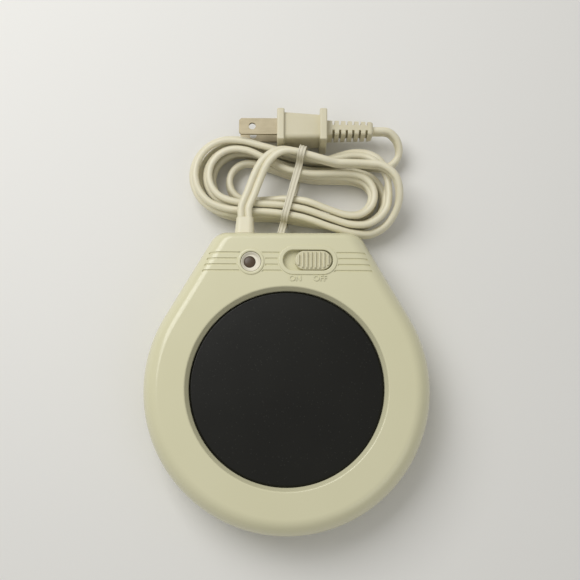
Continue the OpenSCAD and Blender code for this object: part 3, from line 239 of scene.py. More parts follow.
# Glossy moulded ABS: even colour with faint cloudy flow, and the shallow waviness that
# a moulded face shows in its reflections.
cream_abs, tree, coords = new_material("cream_moulded_abs")
flow = noise(tree, coords, 45 * mm, 2.0)
grain = noise(tree, coords, 0.6 * mm, 3.0)
swell = noise(tree, coords, 16 * mm, 1.0)
fine = bumped(tree, grain, 0.05, 0.1 * mm)
surfaced(tree, {"Base Color": toned(tree, flow, "#D6D2AE", "#DCD8B7"),
                "Roughness": ranged(tree, flow, 0.17, 0.24), "IOR": 1.52,
                "Normal": bumped(tree, swell, 0.06, 1 * mm, fine)})

# Screw places, shared by the pillars here and the bosses above
ring_post_r = 51.4 * mm
back_boss = (corner_at[0] + 2.5 * mm, back_y - 22.5 * mm)
screw_places = [(s * back_boss[0], back_boss[1]) for s in (-1, 1)]
screw_places += [(ring_post_r * cos(t), plate_y + ring_post_r * sin(t))
                 for t in (radians(240), radians(300))]

base_levels = [(base_step + base_radius * (1 - sin(t)), foot_h + base_radius * (1 - cos(t)))
               for t in np.linspace(0, pi / 2, 8)]
base_levels += [(base_step, parting_z), (lip_in, parting_z), (lip_in, parting_z + lip_h),
                (lip_in + lip_wall, parting_z + lip_h), (lip_in + lip_wall, foot_h + wall)]
base_tray = skin([[(x, y, z) for x, y in body_plan(inset, inset)] for inset, z in base_levels])
pillars = [post(x, y, pillar_r, foot_h + wall - rooted, pillar_top) for x, y in screw_places]
screw_cuts = [post(x, y, counterbore_r, foot_h - cut_past, counterbore_top) for x, y in screw_places]
screw_cuts += [post(x, y, screw_hole_r, foot_h, pillar_top + cut_past) for x, y in screw_places]
base_mesh = shaped(base_tray, joins=pillars, cuts=screw_cuts)
base_piece = piece_of("base_tray", base_mesh, cream_abs)
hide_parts("base_cover")
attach(base_piece, "housing")

# Rubber feet: four soft discs under the base, pushed into it by their stems.
# Black moulded rubber with a rounded rim and a shallow hollow in the sole.
foot_r = 6 * mm
foot_ring_r = 46 * mm
foot_count = 4


def repeated(name, points_tree, piece_mesh, material, sizes):
    """Mesh of a piece repeated by a Geometry Nodes tree; sizes fill the tree's named inputs."""
    single = linked(name + "_unit", piece_mesh)
    host = linked(name + "_host", bpy.data.meshes.new(name + "_host"))
    tree = bpy.data.node_groups.new(name, "GeometryNodeTree")
    tree.interface.new_socket("Geometry", in_out="OUTPUT", socket_type="NodeSocketGeometry")
    kinds = {int: "NodeSocketInt", float: "NodeSocketFloat"}
    for label, value in sizes.items():
        tree.interface.new_socket(label, in_out="INPUT", socket_type=kinds[type(value)])
    tree.interface.new_socket("Piece", in_out="INPUT", socket_type="NodeSocketObject")
    given = add(tree, "NodeGroupInput")
    source = add(tree, "GeometryNodeObjectInfo", {"Object": given.outputs["Piece"]})
    copies = add(tree, "GeometryNodeInstanceOnPoints",
                 {"Instance": source.outputs["Geometry"], **points_tree(tree, given)})
    solid = add(tree, "GeometryNodeRealizeInstances", {"Geometry": copies.outputs["Instances"]})
    painted = add(tree, "GeometryNodeSetMaterial",
                  {"Geometry": solid.outputs["Geometry"], "Material": material})
    add(tree, "NodeGroupOutput", {"Geometry": painted.outputs["Geometry"]})
    modifier = host.modifiers.new(name, "NODES")
    modifier.node_group = tree
    for item in tree.interface.items_tree:
        if item.in_out == "INPUT":
            modifier[item.identifier] = single if item.name == "Piece" else sizes[item.name]
    result = applied(host)
    bpy.data.objects.remove(single)
    result.set_sharp_from_angle(angle=radians(32))
    return result


def maths(tree, operation, a, b=0.0):
    """Result of one sum of two values or sockets."""
    return add(tree, "ShaderNodeMath", {0: a, 1: b}, operation=operation).outputs[0]


def ring_of_points(tree, given):
    """Points evenly round the plate's axis, half a step from the X axis."""
    circle = add(tree, "GeometryNodeMeshCircle",
                 {"Vertices": given.outputs["Count"], "Radius": given.outputs["Ring radius"]})
    turn = add(tree, "ShaderNodeCombineXYZ", {"Z": maths(tree, "DIVIDE", pi, given.outputs["Count"])})
    moved = add(tree, "ShaderNodeCombineXYZ", {"Y": given.outputs["Ring centre"]})
    placed = add(tree, "GeometryNodeTransform", {"Geometry": circle.outputs["Mesh"],
                 "Rotation": turn.outputs[0], "Translation": moved.outputs[0]})
    return {"Points": placed.outputs["Geometry"]}


foot_rubber, tree, coords = new_material("black_foot_rubber")
dust = noise(tree, coords, 4 * mm, 6.0)
pores = noise(tree, coords, 0.4 * mm, 2.0)
surfaced(tree, {"Base Color": toned(tree, dust, "#23221F", "#3A3833"), "Roughness": 0.75,
                "Normal": bumped(tree, pores, 0.25, 0.1 * mm)})

foot_profile = [(0, 0.35 * mm), (3.4 * mm, 0.35 * mm), (4.2 * mm, 0), (5.4 * mm, 0), (5.8 * mm, 0.15 * mm),
                (foot_r, 0.6 * mm), (foot_r, 1.7 * mm), (5.9 * mm, foot_h), (0, foot_h)]
one_foot = shaped(lathe(foot_profile, (0, 0, 0), 64))
feet_mesh = repeated("rubber_feet_ring", ring_of_points, one_foot, foot_rubber,
                     {"Count": foot_count, "Ring radius": foot_ring_r, "Ring centre": plate_y})
feet_piece = piece_of("rubber_feet_set", feet_mesh, foot_rubber)
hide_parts("rubber_feet")
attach(feet_piece, "housing")


def dress(node, material):
    """A CAD node shown as it is, in its real material."""
    shown = nodes[node]
    if not shown.material_slots:
        shown.data.materials.append(material)
    for place in shown.material_slots:
        place.link = "OBJECT"
        place.material = material


def metal(name, dark_hex, light_hex, roughness):
    """Worn metal finish with blotches and fine rubbing marks."""
    material, tree, coords = new_material(name)
    cloud = noise(tree, coords, 6 * mm, 5.0)
    along = add(tree, "ShaderNodeMapping", {"Vector": coords, "Scale": (1.0, 14.0, 14.0)})
    rub = noise(tree, along.outputs["Vector"], 6 * mm, 3.0)
    surfaced(tree, {"Base Color": toned(tree, cloud, dark_hex, light_hex), "Metallic": 1.0,
                    "Roughness": ranged(tree, rub, roughness - 0.07, roughness + 0.09),
                    "Normal": bumped(tree, rub, 0.08, 0.1 * mm)})
    return material


zinc_steel = metal("zinc_plated_steel", "#8E9092", "#B9BABA", 0.34)
for steel_node in ("housing_screws", "retainer_ring", "retainer_screws", "clamp_plate", "plate_nut",
                   "heat_shield", "fuse_clip", "switch_frame", "switch_screws", "cord_clamp_screws",
                   "lamp_leads"):
    dress(steel_node, zinc_steel)
tinned_copper = metal("tinned_copper", "#A59C8C", "#C7C1B4", 0.3)
dress("crimp_connectors", tinned_copper)
contact_brass = metal("contact_brass", "#A98B45", "#CDB26A", 0.26)
for brass_node in ("switch_terminals", "bridge_contact"):
    dress(brass_node, contact_brass)

# Heater stack under the plate: silicone gasket, mica sheets, resistance ribbon and fibre pad.
# The ribbon lies zigzag between two mica sheets and the pad presses it up against the plate.


def mottled(name, dark_hex, light_hex, size, roughness, bump=0.1, grain=0.6 * mm):
    """Matt material with blotches of one size and a fine grain."""
    material, tree, coords = new_material(name)
    cloud = noise(tree, coords, size, 6.0)
    fibres = noise(tree, coords, grain, 3.0)
    surfaced(tree, {"Base Color": toned(tree, cloud, dark_hex, light_hex),
                    "Roughness": ranged(tree, cloud, roughness - 0.06, roughness + 0.06),
                    "Normal": bumped(tree, fibres, bump, 0.2 * mm)})
    return material


dress("plate_gasket", mottled("grey_silicone_rubber", "#B9B4AC", "#C9C5BE", 10 * mm, 0.55))
mica_sheet = mottled("muscovite_mica_sheet", "#8A6F45", "#B59A6C", 5 * mm, 0.3, 0.2, 2 * mm)
for mica_node in ("mica_upper", "mica_lower"):
    dress(mica_node, mica_sheet)
dress("heating_element", metal("nickel_chrome_ribbon", "#4B4743", "#6E6862", 0.42))
dress("insulation_pad", mottled("ceramic_fibre_felt", "#CFC9BA", "#E8E4DA", 3 * mm, 0.92, 0.6, 0.4 * mm))
dress("thermal_fuse", mottled("glazed_ceramic", "#D9D2C4", "#E9E4DA", 8 * mm, 0.28))

# Heating plate: the round plate that the jar stands on, set below the rim.
# Pressed aluminium with a semi-gloss black non-stick coating; a skirt and flange turn
# down under the housing's lip, where the retainer ring holds them.
body_h = 30 * mm
plate_r = 43.1 * mm
plate_z = 26 * mm
plate_t = 1.6 * mm
skirt_h = 5 * mm
flange_t = 1.4 * mm
bore_r = 43.4 * mm
flange_r = bore_r + 4.2 * mm
plate_edge = 0.9 * mm
stud_r = 2 * mm
stud_low = 13.6 * mm

black_coat, tree, coords = new_material("black_nonstick_coating")
cloud = noise(tree, coords, 30 * mm, 4.0)
specks = add(tree, "ShaderNodeTexVoronoi", {"Vector": coords, "Scale": 1 / (1.6 * mm)})
dots = add(tree, "ShaderNodeMapRange", {"Value": specks.outputs["Distance"], "From Min": 0.05,
                                        "From Max": 0.16, "To Min": 0.1, "To Max": 0.0})
speckled = add(tree, "ShaderNodeMix", {"Factor": dots.outputs["Result"], "B": linear("#8A8A80"),
                                       "A": toned(tree, cloud, "#12120F", "#191914")}, data_type="RGBA")
peel = noise(tree, coords, 0.9 * mm, 2.0)
surfaced(tree, {"Base Color": speckled.outputs["Result"], "Roughness": ranged(tree, cloud, 0.26, 0.34),
                "IOR": 1.36, "Normal": bumped(tree, peel, 0.08, 0.1 * mm)})


def rounded(radius, top, steps):
    """Rounded upper edge as points of (drawn in, height), from the side to the top."""
    return [(radius * (1 - cos(t)), top - radius * (1 - sin(t)))
            for t in np.linspace(0, pi / 2, steps)]


flange_low = plate_z - skirt_h
pan_in = plate_r - plate_t
plate_profile = [(0, stud_low), (stud_r, stud_low), (stud_r, plate_z - plate_t), (pan_in, plate_z - plate_t),
                 (pan_in, flange_low), (flange_r, flange_low), (flange_r, flange_low + flange_t),
                 (plate_r, flange_low + flange_t)]
plate_profile += [(plate_r - drawn_in, z) for drawn_in, z in rounded(plate_edge, plate_z, 6)]
plate_profile += [(0, plate_z)]
plate_piece = piece_of("coated_plate", shaped(lathe(plate_profile, (0, plate_y, 0), 220)), black_coat)
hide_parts("heating_plate")
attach(plate_piece, "housing")

# Upper housing: ring round the plate and the tapered control end, in one moulding.
# Cream ABS with a broad rounded shoulder; the well, the pilot hole, the switch recess with its
# collar and the panel lines are all moulded in.
draft = 0.5 * mm
shoulder_w = 8 * mm
shoulder_h = 12 * mm
back_shoulder = 4.2 * mm
ceiling = body_h - wall
inner_side, inner_back = shoulder_w - 1.4 * mm, back_shoulder - 1 * mm
inner_foot = 17 * mm
rim_r = 45 * mm
bevel_low = body_h - 3 * mm
rim_round = 0.9 * mm
lip_low = plate_z - skirt_h + flange_t + 1 * mm
lip_out_r = bore_r + 3 * mm
pilot_at = (-16.4 * mm, back_y - 15.83 * mm)
pilot_collar_r = 6 * mm
bezel_r = 4.5 * mm
switch_at = (9.3 * mm, back_y - 15.09 * mm)
recess = (22.6 * mm, 9.5 * mm)
recess_z = body_h - 2.6 * mm
collar_w = 1.9 * mm
collar_h = 0.5 * mm
collar_round = 0.35 * mm
groove_count = 4
groove_pitch = 2.75 * mm
groove_w = 0.9 * mm
groove_depth = 0.5 * mm
groove_gap = 0.6 * mm
groove_curve = 0.75
groove_end, groove_end_step = 5.9, -0.55
bushing_x = -20 * mm
bushing_z = 18 * mm
cord_hole = (9.4 * mm, 5.7 * mm)
boss_r = 3.2 * mm
screw_deep = 21 * mm
clamp_y = back_y - 9 * mm
clamp_post_x = 8 * mm
clamp_post_r = 2.3 * mm
clamp_post_low = 15.3 * mm
switch_pad, switch_pad_low = (17.5 * mm, 5.2 * mm), 25.4 * mm
stem_slot, stem_slot_low = (5.6 * mm, 1.65 * mm), 24 * mm


def stadium(length, width, steps=24):
    """Outline with round ends about the origin, counter-clockwise."""
    r = width / 2
    half = np.linspace(-pi / 2, pi / 2, steps + 1)
    right = [(length / 2 - r + r * cos(t), r * sin(t)) for t in half]
    return right + [(-x, -y) for x, y in right]


def stadium_block(length, width, centre, levels):
    """Upright stadium through levels of (outset, height)."""
    return skin([[(centre[0] + x, centre[1] + y, z) for x, y in stadium(length + 2 * out, width + 2 * out)]
                 for out, z in levels])


def bar(low, high):
    """Plain block between two corners, for joining or cutting."""
    rows = [[(low[0], low[1], z), (high[0], low[1], z), (high[0], high[1], z), (low[0], high[1], z)]
            for z in (low[2], high[2])]
    return skin(rows)


def pad(centre, half, low, high):
    """Upright block about a place of the panel, between two heights."""
    return bar((centre[0] - half[0], centre[1] - half[1], low),
               (centre[0] + half[0], centre[1] + half[1], high))


def along_y(size, levels):
    """Stadium section through levels of (outset, y), set on the bushing's axis."""
    return skin([[(bushing_x + x, y, bushing_z - z) for x, z in stadium(size[0] + 2 * out, size[1] + 2 * out)]
                 for out, y in levels])


def shoulder_z(x, y):
    """Height of the housing's top or shoulder above a point of the control end."""
    inset = body_r - (cos(side_angle) * abs(x) + sin(side_angle) * (y - plate_y)) - draft
    if inset >= shoulder_w:
        return body_h
    return body_h - shoulder_h + shoulder_h * sqrt(max(0.0, 1 - (1 - inset / shoulder_w) ** 2))


def groove_cutter(start, end, y):
    """Cutter of one panel line with a rounded floor; start and end give x at each of its sides."""
    half = groove_w / 2
    rings = []
    for share in np.linspace(0, 1, 26):
        low_row, high_row = [], []
        for side in np.linspace(-half, half, 7):
            x = start(y + side) + (end(y + side) - start(y + side)) * share
            sunk = groove_depth * sqrt(max(0.0, 1 - (side / half) ** 2 * groove_curve))
            low_row.append((x, y + side, shoulder_z(x, y) - sunk))
            high_row.append((x, y + side, body_h + 2 * mm))
        rings.append(low_row + high_row[::-1])
    return mended(skin(rings))


inner = [(draft + wall + inner_side * (1 - cos(t)), draft + wall + inner_back * (1 - cos(t)),
          inner_foot + (ceiling - inner_foot) * sin(t)) for t in np.linspace(pi / 2, 0, 9)]
foot_edge = 0.3 * mm
outer = [(wall, wall, parting_z), (foot_edge, foot_edge, parting_z), (0, 0, parting_z + foot_edge)]
outer += [(draft + shoulder_w * (1 - cos(t)), draft + back_shoulder * (1 - cos(t)),
           body_h - shoulder_h + shoulder_h * sin(t)) for t in np.linspace(0, pi / 2, 27)]
shell = skin([[(x, y, z) for x, y in body_plan(side, back)] for side, back, z in inner + outer])

well_low = lip_low - 5 * mm
well = [(0, well_low), (bore_r, well_low), (bore_r, bevel_low - 0.3 * mm), (bore_r + 0.1 * mm, bevel_low)]
slope = atan2(body_h - bevel_low, rim_r - bore_r)
rim_centre = (rim_r + rim_round * tan(slope / 2), body_h - rim_round)
well += [(rim_centre[0] - rim_round * sin(t), rim_centre[1] + rim_round * cos(t))
         for t in np.linspace(slope, 0, 7)]
well += [(rim_centre[0], body_h + 3 * mm), (0, body_h + 3 * mm)]

collar_top = body_h + collar_h
collar_edge = rounded(collar_round, collar_top, 6)
rounding = [(-out, z) for out, z in collar_edge]
over_collar = collar_top + cut_past
switch_collar = stadium_block(recess[0] + 2 * collar_w, recess[1] + 2 * collar_w, switch_at,
                              [(0, body_h - 1 * mm)] + rounding)
switch_recess = stadium_block(*recess, switch_at, [(0, recess_z)] + collar_edge + [(collar_round, over_collar)])
pilot_ring = [(0, body_h - 1 * mm), (pilot_collar_r, body_h - 1 * mm)]
pilot_ring += [(pilot_collar_r + out, z) for out, z in rounding] + [(0, collar_top)]
pilot_hole_r = bezel_r + 0.15 * mm
pilot_hole = [(0, ceiling - 4 * mm), (pilot_hole_r, ceiling - 4 * mm)]
pilot_hole += [(pilot_hole_r + out, z) for out, z in collar_edge]
pilot_hole += [(pilot_hole_r + collar_round, over_collar), (0, over_collar)]

plate_posts = [(ring_post_r * cos(t), plate_y + ring_post_r * sin(t))
               for t in np.radians([45, 135, 225, 315])]
boss_top = ceiling + rooted
joins = [post(0, plate_y, lip_out_r, lip_low, boss_top, 160), switch_collar]
joins += [lathe(pilot_ring, (*pilot_at, 0), 96)]
joins += [post(x, y, boss_r, flange_low, boss_top) for x, y in plate_posts]
joins += [post(x, y, boss_r, pillar_top, boss_top) for x, y in screw_places]
joins += [post(bushing_x + s * clamp_post_x, clamp_y, clamp_post_r, clamp_post_low, boss_top) for s in (-1, 1)]
joins += [pad(switch_at, switch_pad, switch_pad_low, boss_top)]
cuts = [lathe(well, (0, plate_y, 0), 220), switch_recess, lathe(pilot_hole, (*pilot_at, 0), 96)]
cuts += [pad(switch_at, stem_slot, stem_slot_low, recess_z + cut_past)]
cuts += [post(x, y, screw_hole_r, pillar_top - cut_past, screw_deep, 32) for x, y in screw_places]
cuts += [along_y(cord_hole, [(0, back_y - 8 * mm), (0, back_y + 2 * mm)])]

pilot_gap = pilot_collar_r + groove_gap
switch_half = recess[0] / 2 + collar_w + groove_gap
switch_round = recess[1] / 2 + collar_w + groove_gap


def pilot_half(y):
    """Half of the gap in the panel lines round the pilot light, at y."""
    return sqrt(max(0.0, pilot_gap ** 2 - (y - pilot_at[1]) ** 2))


def switch_end(y):
    """Half of the gap in the panel lines round the switch, at y."""
    return switch_half - switch_round + sqrt(max(0.0, switch_round ** 2 - (y - switch_at[1]) ** 2))


for k in range(groove_count):
    groove_edge = (groove_end + groove_end_step * k) * mm
    line_y = pilot_at[1] + (k - (groove_count - 1) / 2) * groove_pitch

    def side_x(y):
        """Where this panel line ends on the right shoulder, at y."""
        return (body_r - groove_edge - sin(side_angle) * (y - plate_y)) / cos(side_angle)

    for start, end in ((lambda y: -side_x(y), lambda y: pilot_at[0] - pilot_half(y)),
                       (lambda y: pilot_at[0] + pilot_half(y), lambda y: switch_at[0] - switch_end(y)),
                       (lambda y: switch_at[0] + switch_end(y), side_x)):
        cuts.append(groove_cutter(start, end, line_y))
housing_piece = piece_of("housing_shell", shaped(shell, cuts=cuts, joins=joins, sharp=38), cream_abs)
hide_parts("upper_housing")
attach(housing_piece, "housing")

# Pilot light: a pale cup pressed into the housing from below, with a small dark lens in it.
# Both are moulded; the lens is smoked brown and only glows with the neon lamp behind it.
dish_r = 4.1 * mm
dish_floor = body_h - 1 * mm
bezel_low = ceiling - 1.2 * mm
bezel_foot_r = 5.1 * mm
bezel_step = ceiling - 0.05 * mm
lens_r = 2.6 * mm
lens_x = pilot_at[0] - 0.6 * mm
lens_foot_r = lens_r + 0.8 * mm
lens_step = bezel_low - 0.02 * mm
lens_rim = body_h - 1.2 * mm
lens_crown = 0.6 * mm

pale_plastic = mottled("pale_moulded_plastic", "#E2DCC8", "#EAE5D4", 20 * mm, 0.36, 0.05)
cup = [(0, bezel_low), (bezel_foot_r, bezel_low), (bezel_foot_r, bezel_step), (bezel_r, bezel_step),
       (bezel_r, body_h - 0.15 * mm), (bezel_r - 0.1 * mm, body_h), (dish_r + 0.1 * mm, body_h),
       (dish_r - 0.05 * mm, body_h - 0.2 * mm), (dish_r - 0.45 * mm, dish_floor + 0.3 * mm),
       (dish_r - 0.85 * mm, dish_floor), (0, dish_floor)]
lens_hole = post(lens_x, pilot_at[1], lens_r + 0.12 * mm, bezel_low - cut_past, body_h, 64)
bezel_piece = piece_of("pilot_cup", shaped(lathe(cup, (*pilot_at, 0), 96), cuts=[lens_hole]), pale_plastic)
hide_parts("pilot_bezel")
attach(bezel_piece, "housing")

smoked_lens, tree, coords = new_material("smoked_brown_lens")
depth = noise(tree, coords, 3 * mm, 2.0)
surfaced(tree, {"Base Color": toned(tree, depth, "#46382A", "#5A4A38"), "Roughness": 0.34, "IOR": 1.45,
                "Normal": bumped(tree, depth, 0.05, 0.2 * mm)})
dome = [(0, bezel_low - 1 * mm), (lens_foot_r, bezel_low - 1 * mm), (lens_foot_r, lens_step),
        (lens_r, lens_step), (lens_r, lens_rim)]
dome += [(lens_r * cos(t), lens_rim + lens_crown * sin(t)) for t in np.linspace(0.15, 1.4, 9)]
dome += [(0, lens_rim + lens_crown)]
lens_piece = piece_of("pilot_lens_dome", shaped(lathe(dome, (lens_x, pilot_at[1], 0), 64)), smoked_lens)
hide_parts("pilot_lens")
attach(lens_piece, "housing")

# Neon lamp and its series resistor, on their own leads behind the lens.
# A clear glass bulb with a warm tint, and a tan resistor with colour bands.
lamp_glass, tree, coords = new_material("neon_lamp_glass")
haze = noise(tree, coords, 2 * mm, 3.0)
surfaced(tree, {"Base Color": toned(tree, haze, "#D9B9A0", "#EBD9C8"), "Roughness": 0.06, "IOR": 1.47,
                "Transmission Weight": 0.5})
dress("neon_lamp", lamp_glass)

banded, tree, coords = new_material("banded_resistor_lacquer")
along = add(tree, "ShaderNodeSeparateXYZ", {"Vector": coords})
band = maths(tree, "GREATER_THAN", maths(tree, "PINGPONG", along.outputs["X"], 1.3 * mm), 0.95 * mm)
surfaced(tree, {"Base Color": toned(tree, band, "#C9A877", "#6B3A22"), "Roughness": 0.35})
dress("lamp_resistor", banded)

# Slide switch: black phenolic case and shuttle under the recess.
# The case is screwed to its steel frame; the shuttle carries the bridge contact.
phenolic = mottled("black_phenolic", "#1E1C1B", "#2B2826", 4 * mm, 0.45, 0.12)
for dark_node in ("switch_case", "switch_shuttle", "cord_clamp"):
    dress(dark_node, phenolic)

# Thumb slider: the ribbed piece that the finger pushes, shown in its OFF place on the right.
# Cream ABS, a little deeper in colour where fingers rub it; the ribs run across the travel.
slider_l = 16.4 * mm
slider_w = recess[1] - 0.7 * mm
slider_top = body_h + 1.2 * mm
slider_low = recess_z + 0.35 * mm
slider_x = switch_at[0] + (recess[0] - slider_l - 1.4 * mm) / 2
rib_count = 8
rib_pitch = 1.9 * mm
rib_h = 1 * mm
rib_w = 0.95 * mm
rib_l = slider_w * 0.86
slider_round = 0.5 * mm
stem_half = (2.5 * mm, 1.3 * mm)
stem_low = 21.5 * mm


def line_of_points(tree, given):
    """Points in a straight line along X, each with the share of the length that a round end leaves."""
    size = given.outputs
    gaps = maths(tree, "SUBTRACT", size["Count"], 1.0)
    back = maths(tree, "MULTIPLY", maths(tree, "MULTIPLY", gaps, size["Spacing"]), -0.5)
    first = add(tree, "ShaderNodeCombineXYZ", {"X": maths(tree, "ADD", back, size["Middle x"]),
                "Y": size["Middle y"], "Z": size["Middle z"]})
    step = add(tree, "ShaderNodeCombineXYZ", {"X": size["Spacing"]})
    line = add(tree, "GeometryNodeMeshLine", {"Count": size["Count"], "Start Location": first.outputs[0],
               "Offset": step.outputs[0]}, mode="OFFSET")
    position = add(tree, "GeometryNodeInputPosition").outputs[0]
    value = add(tree, "ShaderNodeSeparateXYZ", {"Vector": position}).outputs["X"]
    for operation, other in (("SUBTRACT", size["Middle x"]), ("ABSOLUTE", 0.0),
                             ("SUBTRACT", size["Straight half"]), ("MAXIMUM", 0.0),
                             ("DIVIDE", size["End radius"]), ("POWER", 2.0), ("MULTIPLY", -1.0),
                             ("ADD", 1.0), ("SQRT", 0.0)):
        value = maths(tree, operation, value, other)
    return {"Points": line.outputs["Mesh"],
            "Scale": add(tree, "ShaderNodeCombineXYZ", {"X": 1.0, "Y": value, "Z": 1.0}).outputs[0]}


rubbed_abs = mottled("rubbed_cream_abs", "#CFC9A8", "#DAD5B7", 6 * mm, 0.36, 0.06)
slider_levels = [(-0.2 * mm, slider_low), (0, slider_low + 0.2 * mm)]
slider_levels += [(-drawn_in, z) for drawn_in, z in rounded(slider_round, slider_top - rib_h, 7)]
slider_block = stadium_block(slider_l, slider_w, (slider_x, switch_at[1]), slider_levels)
rib_end = ((0, 0.55), (0.25 * mm, 0.9), (0.6 * mm, 1.0))
rib_stations = [(along - rib_l / 2, height) for along, height in rib_end]
rib_stations += [(-y, height) for y, height in rib_stations[::-1]]
rib_rings = []
for y, height in rib_stations:
    arch = [(rib_w / 2 * cos(t), y, rib_h * height * sin(t) ** 0.45)
            for t in np.linspace(0, pi, 11)]
    rib_rings.append(arch + [(-rib_w / 2, y, -0.3 * mm), (rib_w / 2, y, -0.3 * mm)])
ribs = repeated("slider_ribs", line_of_points, mended(skin(rib_rings)), rubbed_abs,
                {"Count": rib_count, "Spacing": rib_pitch, "Middle x": slider_x, "Middle y": switch_at[1],
                 "Middle z": slider_top - rib_h, "Straight half": (slider_l - slider_w) / 2 - rib_w / 2,
                 "End radius": slider_w / 2})
stem = pad((slider_x, switch_at[1]), stem_half, stem_low, slider_low + 0.4 * mm)
slider_piece = piece_of("slider_thumb", shaped(slider_block, joins=[stem, ribs], sharp=40), rubbed_abs)
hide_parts("thumb_slider")
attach(slider_piece, "slider")

# Switch words: plain ON and OFF, raised a hair above the panel in the moulding itself.
# Same cream ABS as the housing, so they only show by their edges.
letter_h = 2.6 * mm
letter_rise = 0.4 * mm
letter_sunk = 0.1 * mm
words_y = 45.2 * mm


def raised_word(word, centre):
    """Block letters of a given cap height, centred on a place of the panel."""
    curve = bpy.data.curves.new(word, "FONT")
    curve.body = word
    curve.align_x = "CENTER"
    curve.extrude = 0.5
    curve.offset = 0.02
    mesh = applied(linked(word, curve))
    low = [min(v.co[k] for v in mesh.vertices) for k in range(3)]
    high = [max(v.co[k] for v in mesh.vertices) for k in range(3)]
    size = letter_h / (high[1] - low[1])
    middle = Vector(((low[0] + high[0]) / 2, (low[1] + high[1]) / 2, low[2]))
    scale = Matrix.Diagonal((size, size, (letter_rise + letter_sunk) / (high[2] - low[2]), 1))
    mesh.transform(Matrix.Translation((*centre, body_h - letter_sunk)) @ scale @ Matrix.Translation(-middle))
    return mended(mesh, weld=1e-6)


for word, word_x in (("ON", 3.5 * mm), ("OFF", 14.7 * mm)):
    word_piece = piece_of("word_" + word.lower(), raised_word(word, (word_x, words_y)), cream_abs)
    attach(word_piece, "housing")

# Cord bushing: the strain relief where the lead leaves the back wall.
# Soft cream PVC moulded round the cord: a sleeve under the clamp, a flange and a tapered nose.
cord_w = 7 * mm
cord_t = 3.3 * mm
cord_play = 0.15 * mm
nose_y = back_y - draft + 0.3 * mm
nose_end = nose_y + 8 * mm
nose_root = nose_y + 0.5 * mm
nose_taper = 7.1 * mm
nose_flare = 0.28 * mm
sleeve_y = back_y - 12.3 * mm
flange_y = back_y - draft - wall - 0.6 * mm
flange_in = flange_y - 2.4 * mm
flange_out = 1.6 * mm
neck = (cord_w + 1.8 * mm, cord_t + 1.8 * mm)


def soft_vinyl(name, dark_hex, light_hex):
    """Satin PVC: faint streaks, a fine grain and a little light let in."""
    material, tree, coords = new_material(name)
    streak = noise(tree, coords, 18 * mm, 4.0)
    skin_grain = noise(tree, coords, 0.8 * mm, 3.0)
    surfaced(tree, {"Base Color": toned(tree, streak, dark_hex, light_hex),
                    "Roughness": ranged(tree, streak, 0.34, 0.44), "IOR": 1.5,
                    "Subsurface Weight": 0.08, "Subsurface Radius": (2 * mm, 1.6 * mm, 1 * mm),
                    "Normal": bumped(tree, skin_grain, 0.12, 0.1 * mm)})
    return material


soft_pvc = soft_vinyl("cream_soft_pvc", "#DCD6BA", "#E8E2CA")
nose_tip = (cord_w + 1 * mm - neck[0]) / 2
bushing_levels = [(0, sleeve_y), (0, flange_in), (flange_out - 0.1 * mm, flange_in),
                  (flange_out, flange_in + 0.2 * mm), (flange_out, flange_y - 0.2 * mm),
                  (flange_out - 0.1 * mm, flange_y), (0, flange_y), (0, nose_y), (0.2 * mm, nose_y),
                  (0.3 * mm, nose_y + 0.15 * mm), (nose_flare, nose_root)]
bushing_levels += [(nose_flare + (nose_tip - nose_flare) * s ** 0.8, nose_root + nose_taper * s)
                   for s in np.linspace(0.12, 1, 9)]
bushing_levels += [(nose_tip - 0.12 * mm, nose_end - 0.1 * mm), (nose_tip - 0.3 * mm, nose_end)]
bore = along_y((cord_w + cord_play, cord_t + cord_play), [(0, sleeve_y - cut_past), (0, nose_end + cut_past)])
bushing_piece = piece_of("bushing_nose", shaped(along_y(neck, bushing_levels), cuts=[bore]), soft_pvc)
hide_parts("cord_bushing")
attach(bushing_piece, "housing")
dress("inner_cord", soft_pvc)

# Inner wires: stranded copper in braided glass sleeving, one colour for each lead.
# They run from the cord's cores to the switch, the thermal fuse and the element's crimps.


def sleeving(name, dark_hex, light_hex):
    """Braided sleeving: two crossing waves a fraction of a millimetre apart."""
    material, tree, coords = new_material(name)
    waves = []
    for angle in (0.7, -0.7):
        tilt = add(tree, "ShaderNodeMapping", {"Vector": coords, "Rotation": (0.6, angle, angle)})
        wave = add(tree, "ShaderNodeTexWave", {"Vector": tilt.outputs["Vector"], "Scale": 260.0,
                                               "Distortion": 0.5})
        waves.append(wave.outputs["Fac"])
    cross = maths(tree, "MAXIMUM", *waves)
    surfaced(tree, {"Base Color": toned(tree, cross, dark_hex, light_hex), "Roughness": 0.7,
                    "Normal": bumped(tree, cross, 0.4, 0.1 * mm)})
    return material


dress("live_wire", sleeving("black_glass_sleeving", "#1C1B1A", "#36342F"))
dress("neutral_wire", sleeving("white_glass_sleeving", "#BDB8A9", "#DFDBCF"))
brown_sleeving = sleeving("brown_glass_sleeving", "#4E2419", "#7A3B29")
for hot_node in ("switched_wire", "fuse_wire"):
    dress(hot_node, brown_sleeving)

# Mains lead: one flat two-core cord, folded on edge into a loose hank behind the warmer.
# Extruded PVC, two round cores with a groove between them. It leaves the bushing flat, crosses the hank,
# turns on edge into its first loop, throws one slack loop towards the plug, and ends in the plug.
fold_left = np.array((-27.3, 98.8)) * mm
fold_right = np.array((34.9, 88.0)) * mm
fold_r = 17.8 * mm
slot_pitch = 4.1 * mm
waist = 3 * mm
low_z = 1.3 * mm + cord_w / 2
high_z = low_z + 7.6 * mm
slots = 3
run_stations = (0.2, 0.4, 0.6, 0.8)
step_share = 0.4
fold_rings = 8
lead_in, lead_slot, lead_rise = 0.86, 0.95, 6 * mm
end_straight = 5 * mm
